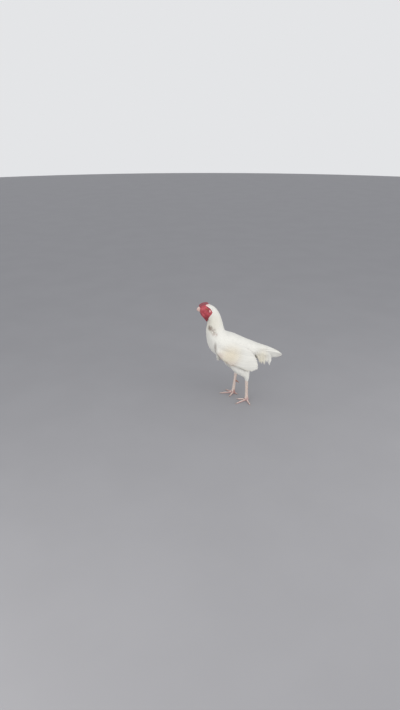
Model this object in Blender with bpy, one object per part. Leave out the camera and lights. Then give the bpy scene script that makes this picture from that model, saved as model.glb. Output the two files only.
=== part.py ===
"""A white Asil game rooster at life size, standing with its neck up and its tail carried low.

Metres, +Z up. The bird faces +X and its left side is +Y. Its soles are flats on z = 0, under the middle
of its box. Body, wings and tail are solid out to the tips of the feathers, and the pieces keep GAP
between them.
"""

import math

import bmesh
import bpy
import numpy as np
from mathutils import Matrix, Vector
from mathutils.bvhtree import BVHTree

GAP = 0.0003
CUT = 0.0004  # how far a cutter stands outside the piece that it copies

# The body from the bill to the tip of the tail, as flat rings across the bird's middle plane:
# top x, top z, under x, under z, half width, and how far its widest place lies to the top (-1 to 1).
BODY = {
    "bill_root": (0.2515, 0.5858, 0.2490, 0.5520, 0.0098, 0.05),
    "brow": (0.2260, 0.5938, 0.2310, 0.5410, 0.0188, 0.12),
    "cheek": (0.2045, 0.5950, 0.2120, 0.5250, 0.0222, 0.04),
    "throat": (0.1835, 0.5860, 0.2010, 0.5030, 0.0262, 0.00),
    "nape": (0.1590, 0.5660, 0.2020, 0.4820, 0.0318, 0.00),
    "hackle": (0.1375, 0.5300, 0.2070, 0.4620, 0.0370, 0.00),
    "neck_root": (0.1235, 0.4860, 0.2110, 0.4420, 0.0430, 0.00),
    "cape": (0.1110, 0.4430, 0.2095, 0.4150, 0.0530, 0.00),
    "shoulder": (0.0960, 0.4260, 0.2045, 0.3780, 0.0630, 0.02),
    "breast": (0.0740, 0.4160, 0.1940, 0.3400, 0.0700, 0.06),
    "keel": (0.0440, 0.4040, 0.1660, 0.3030, 0.0720, 0.10),
    "back": (0.0080, 0.3840, 0.1180, 0.2690, 0.0710, 0.12),
    "loin": (-0.0320, 0.3620, 0.0590, 0.2400, 0.0670, 0.14),
    "saddle": (-0.0690, 0.3440, -0.0030, 0.2380, 0.0590, 0.16),
    "cushion": (-0.1000, 0.3280, -0.0560, 0.2540, 0.0450, 0.18),
    "tail_root": (-0.1250, 0.3165, -0.0980, 0.2640, 0.0350, 0.20),
    "tail_coverts": (-0.1500, 0.3065, -0.1360, 0.2490, 0.0290, 0.24),
    "tail_fan": (-0.1920, 0.2850, -0.1820, 0.2340, 0.0210, 0.30),
    "tail_blades": (-0.2290, 0.2620, -0.2210, 0.2260, 0.0130, 0.30),
    "tail_tip": (-0.2520, 0.2440, -0.2490, 0.2310, 0.0055, 0.00),
}
BODY_PARTS = {  # node: first section, last section, material
    "head": ("bill_root", "throat", "face"),
    "neck_upper": ("throat", "neck_root", "hackle"),
    "neck_lower": ("neck_root", "shoulder", "hackle"),
    "breast": ("shoulder", "keel", "plumage"),
    "trunk": ("keel", "saddle", "plumage"),
    "rump": ("saddle", "tail_root", "saddle"),
    "tail": ("tail_root", "tail_tip", "saddle"),
}
BODY_SIDES = 24
BODY_STEPS = 2  # rings from one section to the next
BODY_FULLNESS = 0.92  # under 1 squares the rings a little

# The bill: culmen x, culmen z, cutting edge x, cutting edge z, half width, widest place.
UPPER_BEAK = (
    (0.2519, 0.5857, 0.2519, 0.5678, 0.0090, -0.5),
    (0.2572, 0.5838, 0.2562, 0.5676, 0.0076, -0.5),
    (0.2620, 0.5800, 0.2605, 0.5674, 0.0056, -0.4),
    (0.2655, 0.5748, 0.2640, 0.5668, 0.0034, -0.3),
    (0.2668, 0.5690, 0.2660, 0.5656, 0.0012, 0.0),
)
LOWER_BEAK = (
    (0.2519, 0.5673, 0.2515, 0.5575, 0.0080, 0.4),
    (0.2565, 0.5671, 0.2555, 0.5585, 0.0066, 0.4),
    (0.2605, 0.5669, 0.2598, 0.5604, 0.0046, 0.3),
    (0.2637, 0.5663, 0.2632, 0.5632, 0.0022, 0.0),
)
# The pea comb along the crown: top x, top z, base x, base z, half width, widest place.
COMB = (
    (0.2560, 0.5905, 0.2490, 0.5830, 0.0034, 0.0),
    (0.2510, 0.5968, 0.2450, 0.5840, 0.0054, 0.0),
    (0.2410, 0.6028, 0.2370, 0.5855, 0.0066, 0.0),
    (0.2290, 0.6058, 0.2280, 0.5870, 0.0070, 0.0),
    (0.2170, 0.6058, 0.2190, 0.5870, 0.0066, 0.0),
    (0.2070, 0.6040, 0.2120, 0.5870, 0.0052, 0.0),
    (0.2010, 0.5985, 0.2060, 0.5860, 0.0030, 0.0),
)
# One wattle in side view: front x, front z, rear x, rear z, half thickness, widest place.
WATTLE = (
    (0.2470, 0.5520, 0.2380, 0.5570, 0.0020, 0.0),
    (0.2452, 0.5425, 0.2320, 0.5480, 0.0030, 0.0),
    (0.2395, 0.5310, 0.2200, 0.5390, 0.0038, 0.0),
    (0.2280, 0.5180, 0.2080, 0.5240, 0.0042, 0.0),
    (0.2190, 0.5060, 0.2055, 0.5110, 0.0036, 0.0),
    (0.2145, 0.4985, 0.2090, 0.5005, 0.0016, 0.0),
)
WATTLE_Y = 0.0078
EYE = Vector((0.2165, 0.0160, 0.5720))
EYE_RADIUS = 0.0056
EARLOBE = Vector((0.2010, 0.0, 0.5605))
EARLOBE_SIZE = Vector((0.0046, 0.0032, 0.0068))
SMALL_SIDES = 11

# The left wing from wrist to tip, as rings from its upper to its lower edge:
# upper x, upper z, lower x, lower z, least y, how far the upper edge may bend in, bulge.
WING = {
    "wrist": (0.1780, 0.3920, 0.1820, 0.3500, 0.0560, 0.020, 0.004),
    "bow": (0.1640, 0.4020, 0.1740, 0.3260, 0.0640, 0.034, 0.009),
    "shoulder": (0.1290, 0.4020, 0.1450, 0.2920, 0.0710, 0.044, 0.012),
    "coverts": (0.0800, 0.3880, 0.1000, 0.2580, 0.0760, 0.046, 0.012),
    "bar": (0.0330, 0.3630, 0.0480, 0.2310, 0.0770, 0.042, 0.010),
    "bay": (-0.0080, 0.3320, 0.0020, 0.2030, 0.0760, 0.030, 0.008),
    "primaries": (-0.0400, 0.3000, -0.0320, 0.1980, 0.0735, 0.016, 0.006),
    "wing_end": (-0.0620, 0.2660, -0.0560, 0.1985, 0.0705, 0.006, 0.004),
    "wing_tip": (-0.0715, 0.2230, -0.0715, 0.2010, 0.0685, 0.000, 0.002),
}
WING_PARTS = {
    "wing": ("wrist", "bar", "plumage"),
    "wing_flight": ("bar", "wing_tip", "plumage"),
}
WING_SIDES = 20
WING_STEPS = 2
WING_RIM = 0.0016  # the least that the wing's outside stands off the body
WING_INSIDE = 0.0050

# The left thigh with its feathers, from inside the trunk to below the hock:
# front x, front z, rear x, rear z, half width, widest place, and y of its middle.
THIGH = (
    (0.0960, 0.2820, -0.0300, 0.2920, 0.0270, 0.0, 0.0400),
    (0.0880, 0.2320, -0.0400, 0.2440, 0.0290, 0.0, 0.0430),
    (0.0680, 0.2010, -0.0370, 0.2090, 0.0260, 0.0, 0.0465),
    (0.0380, 0.1760, -0.0300, 0.1810, 0.0200, 0.0, 0.0500),
    (0.0110, 0.1590, -0.0270, 0.1620, 0.0145, 0.0, 0.0525),
    (0.0000, 0.1470, -0.0255, 0.1480, 0.0112, 0.0, 0.0540),
    (-0.0020, 0.1390, -0.0240, 0.1380, 0.0098, 0.0, 0.0540),
)
THIGH_SIDES = 14

# Each leg: its side, and the x and y of the middle of its hock and of its ankle.
LEGS = {
    "left": {"side": 1, "hock": (-0.0130, 0.0540), "ankle": (-0.0200, 0.0470)},
    "right": {"side": -1, "hock": (0.0065, -0.0600), "ankle": (0.0210, -0.0610)},
}
SHANK_TOP = 0.1383
ANKLE_HEIGHT = 0.0160
SHANK = (  # height, half depth, half width
    (SHANK_TOP, 0.0092, 0.0082),
    (0.1240, 0.0086, 0.0074),
    (0.0950, 0.0078, 0.0066),
    (0.0500, 0.0078, 0.0066),
    (0.0260, 0.0090, 0.0082),
    (ANKLE_HEIGHT, 0.0112, 0.0106),
    (0.0080, 0.0122, 0.0120),
    (0.0020, 0.0114, 0.0112),
    (0.0000, 0.0096, 0.0094),
)
# Toes: heading in degrees from straight ahead to the outside, and length with the claw.
TOES = {
    "left": {"middle": (18, 0.086), "inner": (-28, 0.062), "outer": (86, 0.070), "hind": (-124, 0.038)},
    "right": {"middle": (13, 0.086), "inner": (-44, 0.061), "outer": (58, 0.062), "hind": (-121, 0.038)},
}
TOE_ROOT = (0.0106, 0.0112)  # width and height
TOE_END = (0.0066, 0.0062)
TOE_SIDES = 8
TOE_RINGS = 7
PAD_LENGTH = 0.017
CLAW_LENGTH = 0.0130
CLAW_RADIUS = 0.0023
CLAW_HEIGHT = 0.0034  # of its root's middle
CLAW_ARCH = 0.0016
CLAW_ROOT_INSIDE = 0.0010  # how far the claw starts inside the toe
SPUR_HEIGHT = 0.0840
SPUR_LENGTH = 0.0270
SPUR_RADIUS = 0.0048

# Long feathers that hang past the tail, the innermost first: side-view places of root, bend and tip,
# and width.
HANGING = {
    "rear": ((-0.1200, 0.2990), (-0.1740, 0.2660), (-0.1660, 0.1920), 0.0235),
    "short": ((-0.1040, 0.3020), (-0.1480, 0.2600), (-0.1490, 0.2120), 0.0240),
    "middle": ((-0.0890, 0.3070), (-0.1270, 0.2600), (-0.1320, 0.2030), 0.0240),
    "front": ((-0.0720, 0.3090), (-0.1050, 0.2660), (-0.1140, 0.2120), 0.0235),
}
HANGING_THICKNESS = 0.0020
HANGING_STANDOFF = 0.0016
HANGING_LAYER = 0.0028  # from the middle of one feather to the next that lies over it

MATERIALS = {  # colour, roughness
    "plumage": ((0.78, 0.76, 0.70), 0.8),
    "hackle": ((0.72, 0.69, 0.61), 0.75),
    "saddle": ((0.82, 0.80, 0.74), 0.7),
    "face": ((0.46, 0.08, 0.09), 0.55),
    "comb": ((0.30, 0.06, 0.08), 0.6),
    "lobe": ((0.80, 0.40, 0.42), 0.5),
    "beak": ((0.62, 0.42, 0.38), 0.4),
    "eye": ((0.45, 0.20, 0.05), 0.1),
    "shank": ((0.60, 0.42, 0.38), 0.55),
    "claw": ((0.55, 0.45, 0.40), 0.4),
}


def clear_scene():
    for old in list(bpy.data.objects):
        bpy.data.objects.remove(old, do_unlink=True)


def make_materials():
    for name, (colour, roughness) in MATERIALS.items():
        material = bpy.data.materials.new(name)
        material.use_nodes = True
        shader = material.node_tree.nodes["Principled BSDF"]
        shader.inputs["Base Color"].default_value = (*colour, 1)
        shader.inputs["Roughness"].default_value = roughness
        shader.inputs["Metallic"].default_value = 0


def smooth_row(rows, place):
    """The row at this place, counted in rows, on a smooth curve through all of them."""
    last = len(rows) - 1
    first = min(max(int(place), 0), last - 1)
    part = place - first
    start, end = rows[first], rows[first + 1]
    before, after = rows[max(first - 1, 0)], rows[min(first + 2, last)]
    line = (end - before) * part
    bend = (2 * before - 5 * start + 4 * end - after) * part**2
    return start + (line + bend + (3 * start - before - 3 * end + after) * part**3) / 2


def smooth_rows(rows, steps, start=0.0, end=None):
    rows = np.array(rows)
    end = len(rows) - 1 if end is None else end
    count = max(2, round((end - start) * steps) + 1)
    return [smooth_row(rows, place) for place in np.linspace(start, end, count)]


def round_ring(row, sides, middle_y=0.0, fullness=1.0):
    """A ring from a top and an under point of the middle plane, a half width and a widest place."""
    top = Vector((row[0], middle_y, row[1]))
    under = Vector((row[2], middle_y, row[3]))
    points = []
    for k in range(sides):
        turn = 2 * math.pi * k / sides
        across = math.copysign(abs(math.cos(turn)) ** fullness, math.cos(turn))
        height = math.copysign(abs(math.sin(turn)) ** fullness, math.sin(turn))
        height += row[5] * (1 - height**2)
        middle = (top + under) / 2 + (top - under) / 2 * height
        points.append(middle + Vector((0, row[4] * across, 0)))
    return points


def mesh_object(name, mesh, material):
    bmesh.ops.recalc_face_normals(mesh, faces=mesh.faces)
    data = bpy.data.meshes.new(name)
    mesh.to_mesh(data)
    mesh.free()
    made = bpy.data.objects.new(name, data)
    bpy.context.collection.objects.link(made)
    data.materials.append(bpy.data.materials[material])
    data.shade_smooth()
    data.set_sharp_from_angle(angle=math.radians(50))
    return made


def loft(name, rings, material):
    """A closed solid through rings of equally many points."""
    mesh = bmesh.new()
    loops = [[mesh.verts.new(point) for point in ring] for ring in rings]
    for first, second in zip(loops, loops[1:]):
        for k in range(len(first)):
            mesh.faces.new((first[k - 1], first[k], second[k], second[k - 1]))
    mesh.faces.new(loops[0])
    mesh.faces.new(loops[-1])
    return mesh_object(name, mesh, material)


def mirrored(rings, side):
    return [[Vector((point.x, point.y * side, point.z)) for point in ring] for ring in rings]


def envelope(made):
    """A cutter that stands CUT outside a piece on every side."""
    mesh = bmesh.new()
    mesh.from_mesh(made.data)
    mesh.normal_update()
    moves = [vert.normal * CUT for vert in mesh.verts]
    for vert, move in zip(mesh.verts, moves):
        vert.co += move
    cutter = mesh_object(made.name + "_envelope", mesh, "plumage")
    cutter.hide_render = True
    cutter.display_type = "WIRE"
    return cutter


def cut(made, *cutters):
    for cutter in cutters:
        boolean = made.modifiers.new("clear_of_" + cutter.name, "BOOLEAN")
        boolean.operation = "DIFFERENCE"
        boolean.object = cutter


def guide(made):
    made.hide_render = True
    made.display_type = "WIRE"
    return made


def section_span(table, first, last):
    """The places of a part's two ends in a table of rings, each drawn back by half the gap."""
    names = list(table)
    rows = np.array(list(table.values()))
    start, end = names.index(first), names.index(last)

    def back(place, step):
        ahead, behind = smooth_row(rows, place + step), smooth_row(rows, place)
        reach = min(
            np.linalg.norm(ahead[:2] - behind[:2]),
            np.linalg.norm(ahead[2:4] - behind[2:4]),
        )
        return GAP / 2 / reach * abs(step)

    if start > 0:
        start += back(start, 0.1)
    if end < len(names) - 1:
        end -= back(end, -0.1)
    return rows, start, end


def body_rings(table, first, last, steps=BODY_STEPS):
    rows, start, end = section_span(table, first, last)
    spans = smooth_rows(rows, steps, start, end)
    return [round_ring(row, BODY_SIDES, 0, BODY_FULLNESS) for row in spans]


def build_body():
    whole = body_rings(BODY, "bill_root", "tail_tip")
    for name, (first, last, material) in BODY_PARTS.items():
        loft(name, body_rings(BODY, first, last), material)
    return guide(loft("body_form", whole, "plumage"))


def surface_of(*objects):
    trees = []
    for made in objects:
        mesh = bmesh.new()
        mesh.from_mesh(made.data)
        trees.append(BVHTree.FromBMesh(mesh))
        mesh.free()
    return trees


def outermost(trees, x, z, least):
    """How far out the given forms reach at this place of the side view, or the least value."""
    far = Vector((x, 1, z))
    hits = [tree.ray_cast(far, Vector((0, -1, 0)))[0] for tree in trees]
    return max([least] + [hit.y for hit in hits if hit])


def wing_ring(row, trees):
    upper, lower = Vector((row[0], 0, row[1])), Vector((row[2], 0, row[3]))
    points = []
    for k in range(WING_SIDES):
        turn = 2 * math.pi * k / WING_SIDES
        height = (1 + math.sin(turn)) / 2
        place = lower.lerp(upper, height)
        base = outermost(trees, place.x, place.z, row[4] - row[5] * height**3)
        if math.cos(turn) >= 0:
            place.y = base + WING_RIM + row[6] * math.cos(turn) ** 0.8
        else:
            place.y = base + WING_RIM - WING_INSIDE * abs(math.cos(turn)) ** 0.5
        points.append(place)
    return points


def build_wings(body_form, body_cutter, thigh_forms, thigh_cutters):
    trees = surface_of(body_form, thigh_forms[0])
    for name, (first, last, material) in WING_PARTS.items():
        rows, start, end = section_span(WING, first, last)
        rings = [wing_ring(row, trees) for row in smooth_rows(rows, WING_STEPS, start, end)]
        for side, tag, thigh in ((1, "left", thigh_cutters[0]), (-1, "right", thigh_cutters[1])):
            wing = loft(f"{name}_{tag}", mirrored(rings, side), material)
            cut(wing, body_cutter, thigh)


def build_thighs(body_cutter):
    forms, cutters = [], []
    for tag, leg in LEGS.items():
        rings = []
        for row in smooth_rows(THIGH, 2):
            ring = round_ring(row, THIGH_SIDES, row[6])
            low = min(max((THIGH[0][1] - row[1]) / (THIGH[0][1] - SHANK_TOP), 0), 1)
            shift = leg["hock"][0] - LEGS["left"]["hock"][0]
            out = abs(leg["hock"][1]) - LEGS["left"]["hock"][1]
            rings.append([point + Vector((shift * low, out * low, 0)) for point in ring])
        thigh = loft("thigh_" + tag, mirrored(rings, leg["side"]), "plumage")
        forms.append(thigh)
        cutters.append(envelope(thigh))
        cut(thigh, body_cutter)
    return forms, cutters


def build_shank(tag, leg):
    hock, ankle = Vector(leg["hock"]), Vector(leg["ankle"])
    rings = []
    for height, half_depth, half_width in SHANK:
        middle = ankle.lerp(hock, max(height - ANKLE_HEIGHT, 0) / (SHANK_TOP - ANKLE_HEIGHT))
        ring = []
        for k in range(SMALL_SIDES):
            turn = 2 * math.pi * k / SMALL_SIDES
            x = middle.x + half_depth * math.cos(turn)
            y = middle.y + half_width * math.sin(turn)
            z = height if height < SHANK_TOP else SHANK_TOP - GAP
            ring.append(Vector((x, y, z)))
        rings.append(ring)
    return loft("shank_" + tag, rings, "shank")


def toe_ring(origin, ahead, aside, reach, width, height):
    ring = []
    for k in range(TOE_SIDES):
        turn = 2 * math.pi * k / TOE_SIDES
        z = max(0.0, height * (0.42 + 0.58 * math.sin(turn)))
        ring.append(origin + ahead * reach + aside * (width / 2 * math.cos(turn)) + Vector((0, 0, z)))
    return ring


def cone_ring(middle, ahead, radius, sides):
    """A ring across the horn, flat where it would reach below the floor."""
    aside = ahead.cross(Vector((0, 0, 1))).normalized()
    upward = aside.cross(ahead).normalized()
    ring = []
    for k in range(sides):
        turn = 2 * math.pi * k / sides
        point = middle + (aside * math.cos(turn) + upward * math.sin(turn)) * radius
        point.z = max(point.z, 0)
        ring.append(point)
    return ring


def curved_cone(name, path, radius, material, sides=8, end_share=0.16):
    """A horn, claw or spur along a quadratic curve through three places."""
    start, bend, tip = path
    rings = []
    for step in np.linspace(0, 1, 6):
        middle = start.lerp(bend, step).lerp(bend.lerp(tip, step), step)
        ahead = ((bend - start) * (1 - step) + (tip - bend) * step).normalized()
        thick = radius * (1 - (1 - end_share) * step**1.25)
        rings.append(cone_ring(middle, ahead, thick, sides))
    return loft(name, rings, material)


def build_foot(tag, leg, shank_cutter):
    ankle = Vector((leg["ankle"][0], leg["ankle"][1], 0))
    done = [shank_cutter]
    for toe, (heading, length) in TOES[tag].items():
        turn = math.radians(heading) * leg["side"]
        ahead = Vector((math.cos(turn), math.sin(turn), 0))
        aside = Vector((-math.sin(turn), math.cos(turn), 0))
        flesh = length - CLAW_LENGTH
        rings = []
        for reach in np.linspace(0.004, flesh, TOE_RINGS):
            share = reach / flesh
            pad = 1 + 0.06 * math.cos(2 * math.pi * (flesh - reach - 0.006) / PAD_LENGTH)
            width = (TOE_ROOT[0] + (TOE_END[0] - TOE_ROOT[0]) * share) * pad
            height = (TOE_ROOT[1] + (TOE_END[1] - TOE_ROOT[1]) * share) * pad
            rings.append(toe_ring(ankle, ahead, aside, reach, width, height))
        made = loft(f"toe_{toe}_{tag}", rings, "shank")
        cutter = envelope(made)
        cut(made, *done)
        done.append(cutter)
        root = ankle + ahead * (flesh - CLAW_ROOT_INSIDE) + Vector((0, 0, CLAW_HEIGHT))
        bend = root + ahead * (CLAW_LENGTH * 0.6) + Vector((0, 0, CLAW_ARCH))
        tip = ankle + ahead * length
        cut(curved_cone(f"claw_{toe}_{tag}", (root, bend, tip), CLAW_RADIUS, "claw"), cutter)


def build_spur(tag, leg, shank_cutter):
    share = (SPUR_HEIGHT - ANKLE_HEIGHT) / (SHANK_TOP - ANKLE_HEIGHT)
    middle = Vector(leg["ankle"]).lerp(Vector(leg["hock"]), share)
    inward = -leg["side"]
    root = Vector((middle.x - 0.002, middle.y + inward * 0.001, SPUR_HEIGHT))
    tip = root + Vector((-0.60, inward * 0.68, -0.42)) * SPUR_LENGTH
    bend = root.lerp(tip, 0.6) + Vector((-0.003, 0, 0.001))
    cut(curved_cone("spur_" + tag, (root, bend, tip), SPUR_RADIUS, "claw"), shank_cutter)


def build_legs(body_cutter):
    forms, cutters = build_thighs(body_cutter)
    for tag, leg in LEGS.items():
        shank = build_shank(tag, leg)
        cutter = envelope(shank)
        build_foot(tag, leg, cutter)
        build_spur(tag, leg, cutter)
    return forms, cutters


def build_beak():
    halves = []
    for name, table in (("beak_upper", UPPER_BEAK), ("beak_lower", LOWER_BEAK)):
        rows = smooth_rows(table, 2)
        halves.append(loft(name, [round_ring(row, SMALL_SIDES) for row in rows], "beak"))
    return [envelope(half) for half in halves]


def build_comb(body_cutter, beak_cutter):
    rows = smooth_rows(COMB, 2)
    comb = loft("comb", [round_ring(row, SMALL_SIDES, 0, 0.8) for row in rows], "comb")
    cut(comb, body_cutter, beak_cutter)


def ball(name, middle, size, material, sides=9):
    """An ellipsoid with its poles to the sides."""
    mesh = bmesh.new()
    place = Matrix.Translation(middle) @ Matrix.Diagonal((*size, 1)) @ Matrix.Rotation(math.pi / 2, 4, "X")
    bmesh.ops.create_uvsphere(mesh, u_segments=sides, v_segments=sides // 2 + 2, radius=1, matrix=place)
    return mesh_object(name, mesh, material)


def build_face(body_form, body_cutter):
    head = bpy.data.objects["head"]
    trees = surface_of(body_form)
    for side, tag in ((1, "left"), (-1, "right")):
        middle = Vector((EYE.x, EYE.y * side, EYE.z))
        ball("eye_" + tag, middle, (EYE_RADIUS,) * 3, "eye", 14)
        socket = guide(ball("socket_" + tag, middle, (EYE_RADIUS + GAP * 1.3,) * 3, "face", 14))
        cut(head, socket)
        lobe_y = outermost(trees, EARLOBE.x, EARLOBE.z, 0) * side
        lobe = ball("earlobe_" + tag, Vector((EARLOBE.x, lobe_y, EARLOBE.z)), EARLOBE_SIZE, "lobe")
        cut(lobe, body_cutter)
        rings = [round_ring(row, SMALL_SIDES, WATTLE_Y) for row in smooth_rows(WATTLE, 1)]
        wattle = loft("wattle_" + tag, mirrored(rings, side), "comb")
        cut(wattle, body_cutter)


def build_hanging_feathers(body_form, body_cutter):
    trees = surface_of(body_form)
    heights, under = [0, 1], [0, 0]
    for place, (root, bend, tip, width) in HANGING.items():
        root, bend, tip = (Vector((x, 0, z)) for x, z in (root, bend, tip))
        rings, middles, out = [], [], 0.0
        for step in np.linspace(0, 1, 7):
            middle = root.lerp(bend, step).lerp(bend.lerp(tip, step), step)
            ahead = ((bend - root) * (1 - step) + (tip - bend) * step).normalized()
            across = Vector((-ahead.z, 0, ahead.x))
            half = width / 2 * min(1, 0.35 + 2.2 * step) * min(1, 0.12 + 2.2 * (1 - step))
            reach = max(outermost(trees, *(middle + across * s * half).xz, 0.022) for s in (-1, 1))
            out = reach if out == 0 else max(reach, out - 0.0035)
            y = max(out + HANGING_STANDOFF, np.interp(middle.z, heights, under) + HANGING_LAYER)
            middles.append((middle.z, y))
            flat = [(0, 1), (-0.6, 0.7), (-1, 0), (-0.6, -0.7), (0, -1), (0.6, -0.7), (1, 0), (0.6, 0.7)]
            ring = [
                middle + across * (half * a) + Vector((0, y + HANGING_THICKNESS / 2 * b, 0)) for a, b in flat
            ]
            rings.append(ring)
        heights, under = zip(*sorted(middles))
        for side, tag in ((1, "left"), (-1, "right")):
            feather = loft(f"saddle_feather_{place}_{tag}", mirrored(rings, side), "saddle")
            cut(feather, body_cutter)


def stand_on_middle():
    """Moves everything so that the middle of the bird's box stands over the origin."""
    bpy.context.view_layer.update()
    nodes = [made for made in bpy.data.objects if not made.hide_render]
    corners = np.array([made.matrix_world @ Vector(c) for made in nodes for c in made.bound_box])
    shift = -(corners.min(axis=0) + corners.max(axis=0)) / 2
    for made in bpy.data.objects:
        made.data.transform(Matrix.Translation((shift[0], shift[1], 0)))


def main():
    clear_scene()
    make_materials()
    body_form = build_body()
    body_cutter = envelope(body_form)
    thigh_forms, thigh_cutters = build_legs(body_cutter)
    build_wings(body_form, body_cutter, thigh_forms, thigh_cutters)
    beak_cutters = build_beak()
    build_comb(body_cutter, beak_cutters[0])
    build_face(body_form, body_cutter)
    build_hanging_feathers(body_form, body_cutter)
    stand_on_middle()


main()
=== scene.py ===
# A white Asil game rooster as a museum model: one skin, solid feathers laid over it, horn and eyes.
import math

import bpy
import numpy as np
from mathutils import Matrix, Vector, kdtree, noise
from mathutils.bvhtree import BVHTree


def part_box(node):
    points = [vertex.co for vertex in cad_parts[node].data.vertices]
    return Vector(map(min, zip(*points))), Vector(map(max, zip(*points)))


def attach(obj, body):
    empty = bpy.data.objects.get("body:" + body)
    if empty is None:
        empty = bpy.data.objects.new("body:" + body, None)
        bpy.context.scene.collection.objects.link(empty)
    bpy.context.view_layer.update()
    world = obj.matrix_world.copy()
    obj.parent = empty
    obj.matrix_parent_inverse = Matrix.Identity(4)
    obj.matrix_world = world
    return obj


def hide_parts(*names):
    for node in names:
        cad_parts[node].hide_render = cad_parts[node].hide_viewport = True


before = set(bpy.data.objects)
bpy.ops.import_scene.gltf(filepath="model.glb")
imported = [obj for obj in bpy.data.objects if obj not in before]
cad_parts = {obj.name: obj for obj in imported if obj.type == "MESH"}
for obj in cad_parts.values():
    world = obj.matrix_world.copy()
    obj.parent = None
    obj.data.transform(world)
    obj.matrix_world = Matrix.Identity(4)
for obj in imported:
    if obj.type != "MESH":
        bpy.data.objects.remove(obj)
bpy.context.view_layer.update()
chance = np.random.default_rng(7)

sides = {"left": 1, "right": -1}
toes = ("middle", "inner", "outer", "hind")
bodyNodes = ["head", "neck_upper", "neck_lower", "breast", "trunk", "rump", "tail"]
fleshNodes = [
    *bodyNodes, "thigh_left", "thigh_right", "shank_left", "shank_right",
    *(f"toe_{toe}_{side}" for side in sides for toe in toes),
    "wing_left", "wing_right", "wing_flight_left", "wing_flight_right",
    "comb", "wattle_left", "wattle_right", "earlobe_left", "earlobe_right",
]


# Meshes and places

def boxPlace(node, x=0.5, y=0.5, z=0.5):  # a place in a node's box, as shares of its sides
    low, high = (np.array(corner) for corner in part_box(node))
    return low + (high - low) * (x, y, z)


def cadMeshes(nodes):
    return [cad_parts[node].data for node in nodes]


def readRows(items, what, size, kind=np.float32):
    rows = np.empty(len(items) * size, kind)
    items.foreach_get(what, rows)
    return rows.reshape(-1, size)


def pointsOf(mesh):
    return readRows(mesh.vertices, "co", 3).astype(float)


def normalsOf(mesh):
    return readRows(mesh.vertices, "normal", 3).astype(float)


def nodePoints(*nodes):
    return np.concatenate([pointsOf(mesh) for mesh in cadMeshes(nodes)])


def movePoints(mesh, places):
    mesh.vertices.foreach_set("co", places.astype(np.float32).ravel())
    mesh.update()


def giveAttribute(mesh, name, values):
    values = np.asarray(values, np.float32)
    mesh.attributes.new(name, "FLOAT", "POINT").data.foreach_set("value", values)


def newObject(name, data):
    made = bpy.data.objects.new(name, data)
    bpy.context.scene.collection.objects.link(made)
    return made


def selectOnly(*objects):
    for made in bpy.context.selected_objects:
        made.select_set(False)
    for made in objects:
        made.select_set(True)
    bpy.context.view_layer.objects.active = objects[0]


def applyModifier(made, kind, **settings):
    selectOnly(made)
    modifier = made.modifiers.new(kind.lower(), kind)
    for key, value in settings.items():
        setattr(modifier, key, value)
    bpy.ops.object.modifier_apply(modifier=modifier.name)


def editMesh(made, *steps):  # runs the steps in edit mode, with the whole mesh selected
    selectOnly(made)
    bpy.ops.object.mode_set(mode="EDIT")
    bpy.ops.mesh.select_all(action="SELECT")
    for step, settings in steps:
        step(**settings)
    bpy.ops.object.mode_set(mode="OBJECT")


merge = (bpy.ops.mesh.remove_doubles, {"threshold": 0.00001})
turnOutward = (bpy.ops.mesh.normals_make_consistent, {"inside": False})


def unit(vectors):
    return vectors / np.maximum(np.linalg.norm(vectors, axis=-1, keepdims=True), 1e-9)


def squareTo(vectors, axes):  # the part of each vector that is square to its axis, at length 1
    return unit(vectors - axes * (vectors * axes).sum(-1, keepdims=True))


def smoothStep(values, low, high):
    share = np.clip((values - low) / (high - low), 0, 1)
    return share * share * (3 - 2 * share)


def bell(values, middle, reach):
    return np.exp(-(((values - middle) / reach) ** 2))


def bells(values, rows):  # a sum of bells: the middle, reach and height of each
    return sum(height * bell(values, middle, reach) for middle, reach, height in rows)


def noiseAt(places, size, octaves=3):
    spots = (places / size).tolist()
    return np.array([noise.fractal(spot, 1.0, 2.0, octaves) for spot in spots])


def curveThrough(places, count):  # a smooth line through a few places
    rows = np.array(places, float)
    found = []
    for place in np.linspace(0, len(rows) - 1, count):
        first = min(int(place), len(rows) - 2)
        t = place - first
        start, end = rows[first], rows[first + 1]
        before, after = rows[max(first - 1, 0)], rows[min(first + 2, len(rows) - 1)]
        bend = (2 * before - 5 * start + 4 * end - after) * t**2
        found.append(start + ((end - before) * t + bend + (3 * start - before - 3 * end + after) * t**3) / 2)
    return np.array(found)


def cadCopy(name, nodes, swell=0.0):  # merged copies of CAD nodes, joined in one object
    twins = []
    for mesh in cadMeshes(nodes):
        twin = newObject(name, mesh.copy())
        twin.data.materials.clear()
        editMesh(twin, merge, turnOutward)
        if swell:
            applyModifier(twin, "DISPLACE", strength=swell, mid_level=0.0)
        twins.append(twin)
    selectOnly(*twins)
    if len(twins) > 1:
        bpy.ops.object.join()
    twins[0].name = name
    return twins[0]


def remeshed(name, nodes, voxel, swell, rounds):
    made = cadCopy(name, nodes, swell)
    applyModifier(made, "REMESH", mode="VOXEL", voxel_size=voxel, use_smooth_shade=True)
    applyModifier(made, "SMOOTH", factor=0.5, iterations=rounds)
    return made


def treeOf(meshes):
    points, corners = [], []
    for mesh in meshes:
        start = len(points)
        corners += [tuple(start + k for k in face.vertices) for face in mesh.polygons]
        points += pointsOf(mesh).tolist()
    return BVHTree.FromPolygons(points, corners)


def nearest(tree, places):  # for each place its nearest surface place, normal and face
    shape = places.shape[:-1]
    found = []
    for place in places.reshape(-1, 3).tolist():
        spot, up, face, _ = tree.find_nearest(place)
        found.append((*spot, *up, face))
    found = np.array(found)
    spots, ups = found[:, :3].reshape(*shape, 3), found[:, 3:6].reshape(*shape, 3)
    return spots, ups, found[:, 6].astype(int).reshape(shape)


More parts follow.
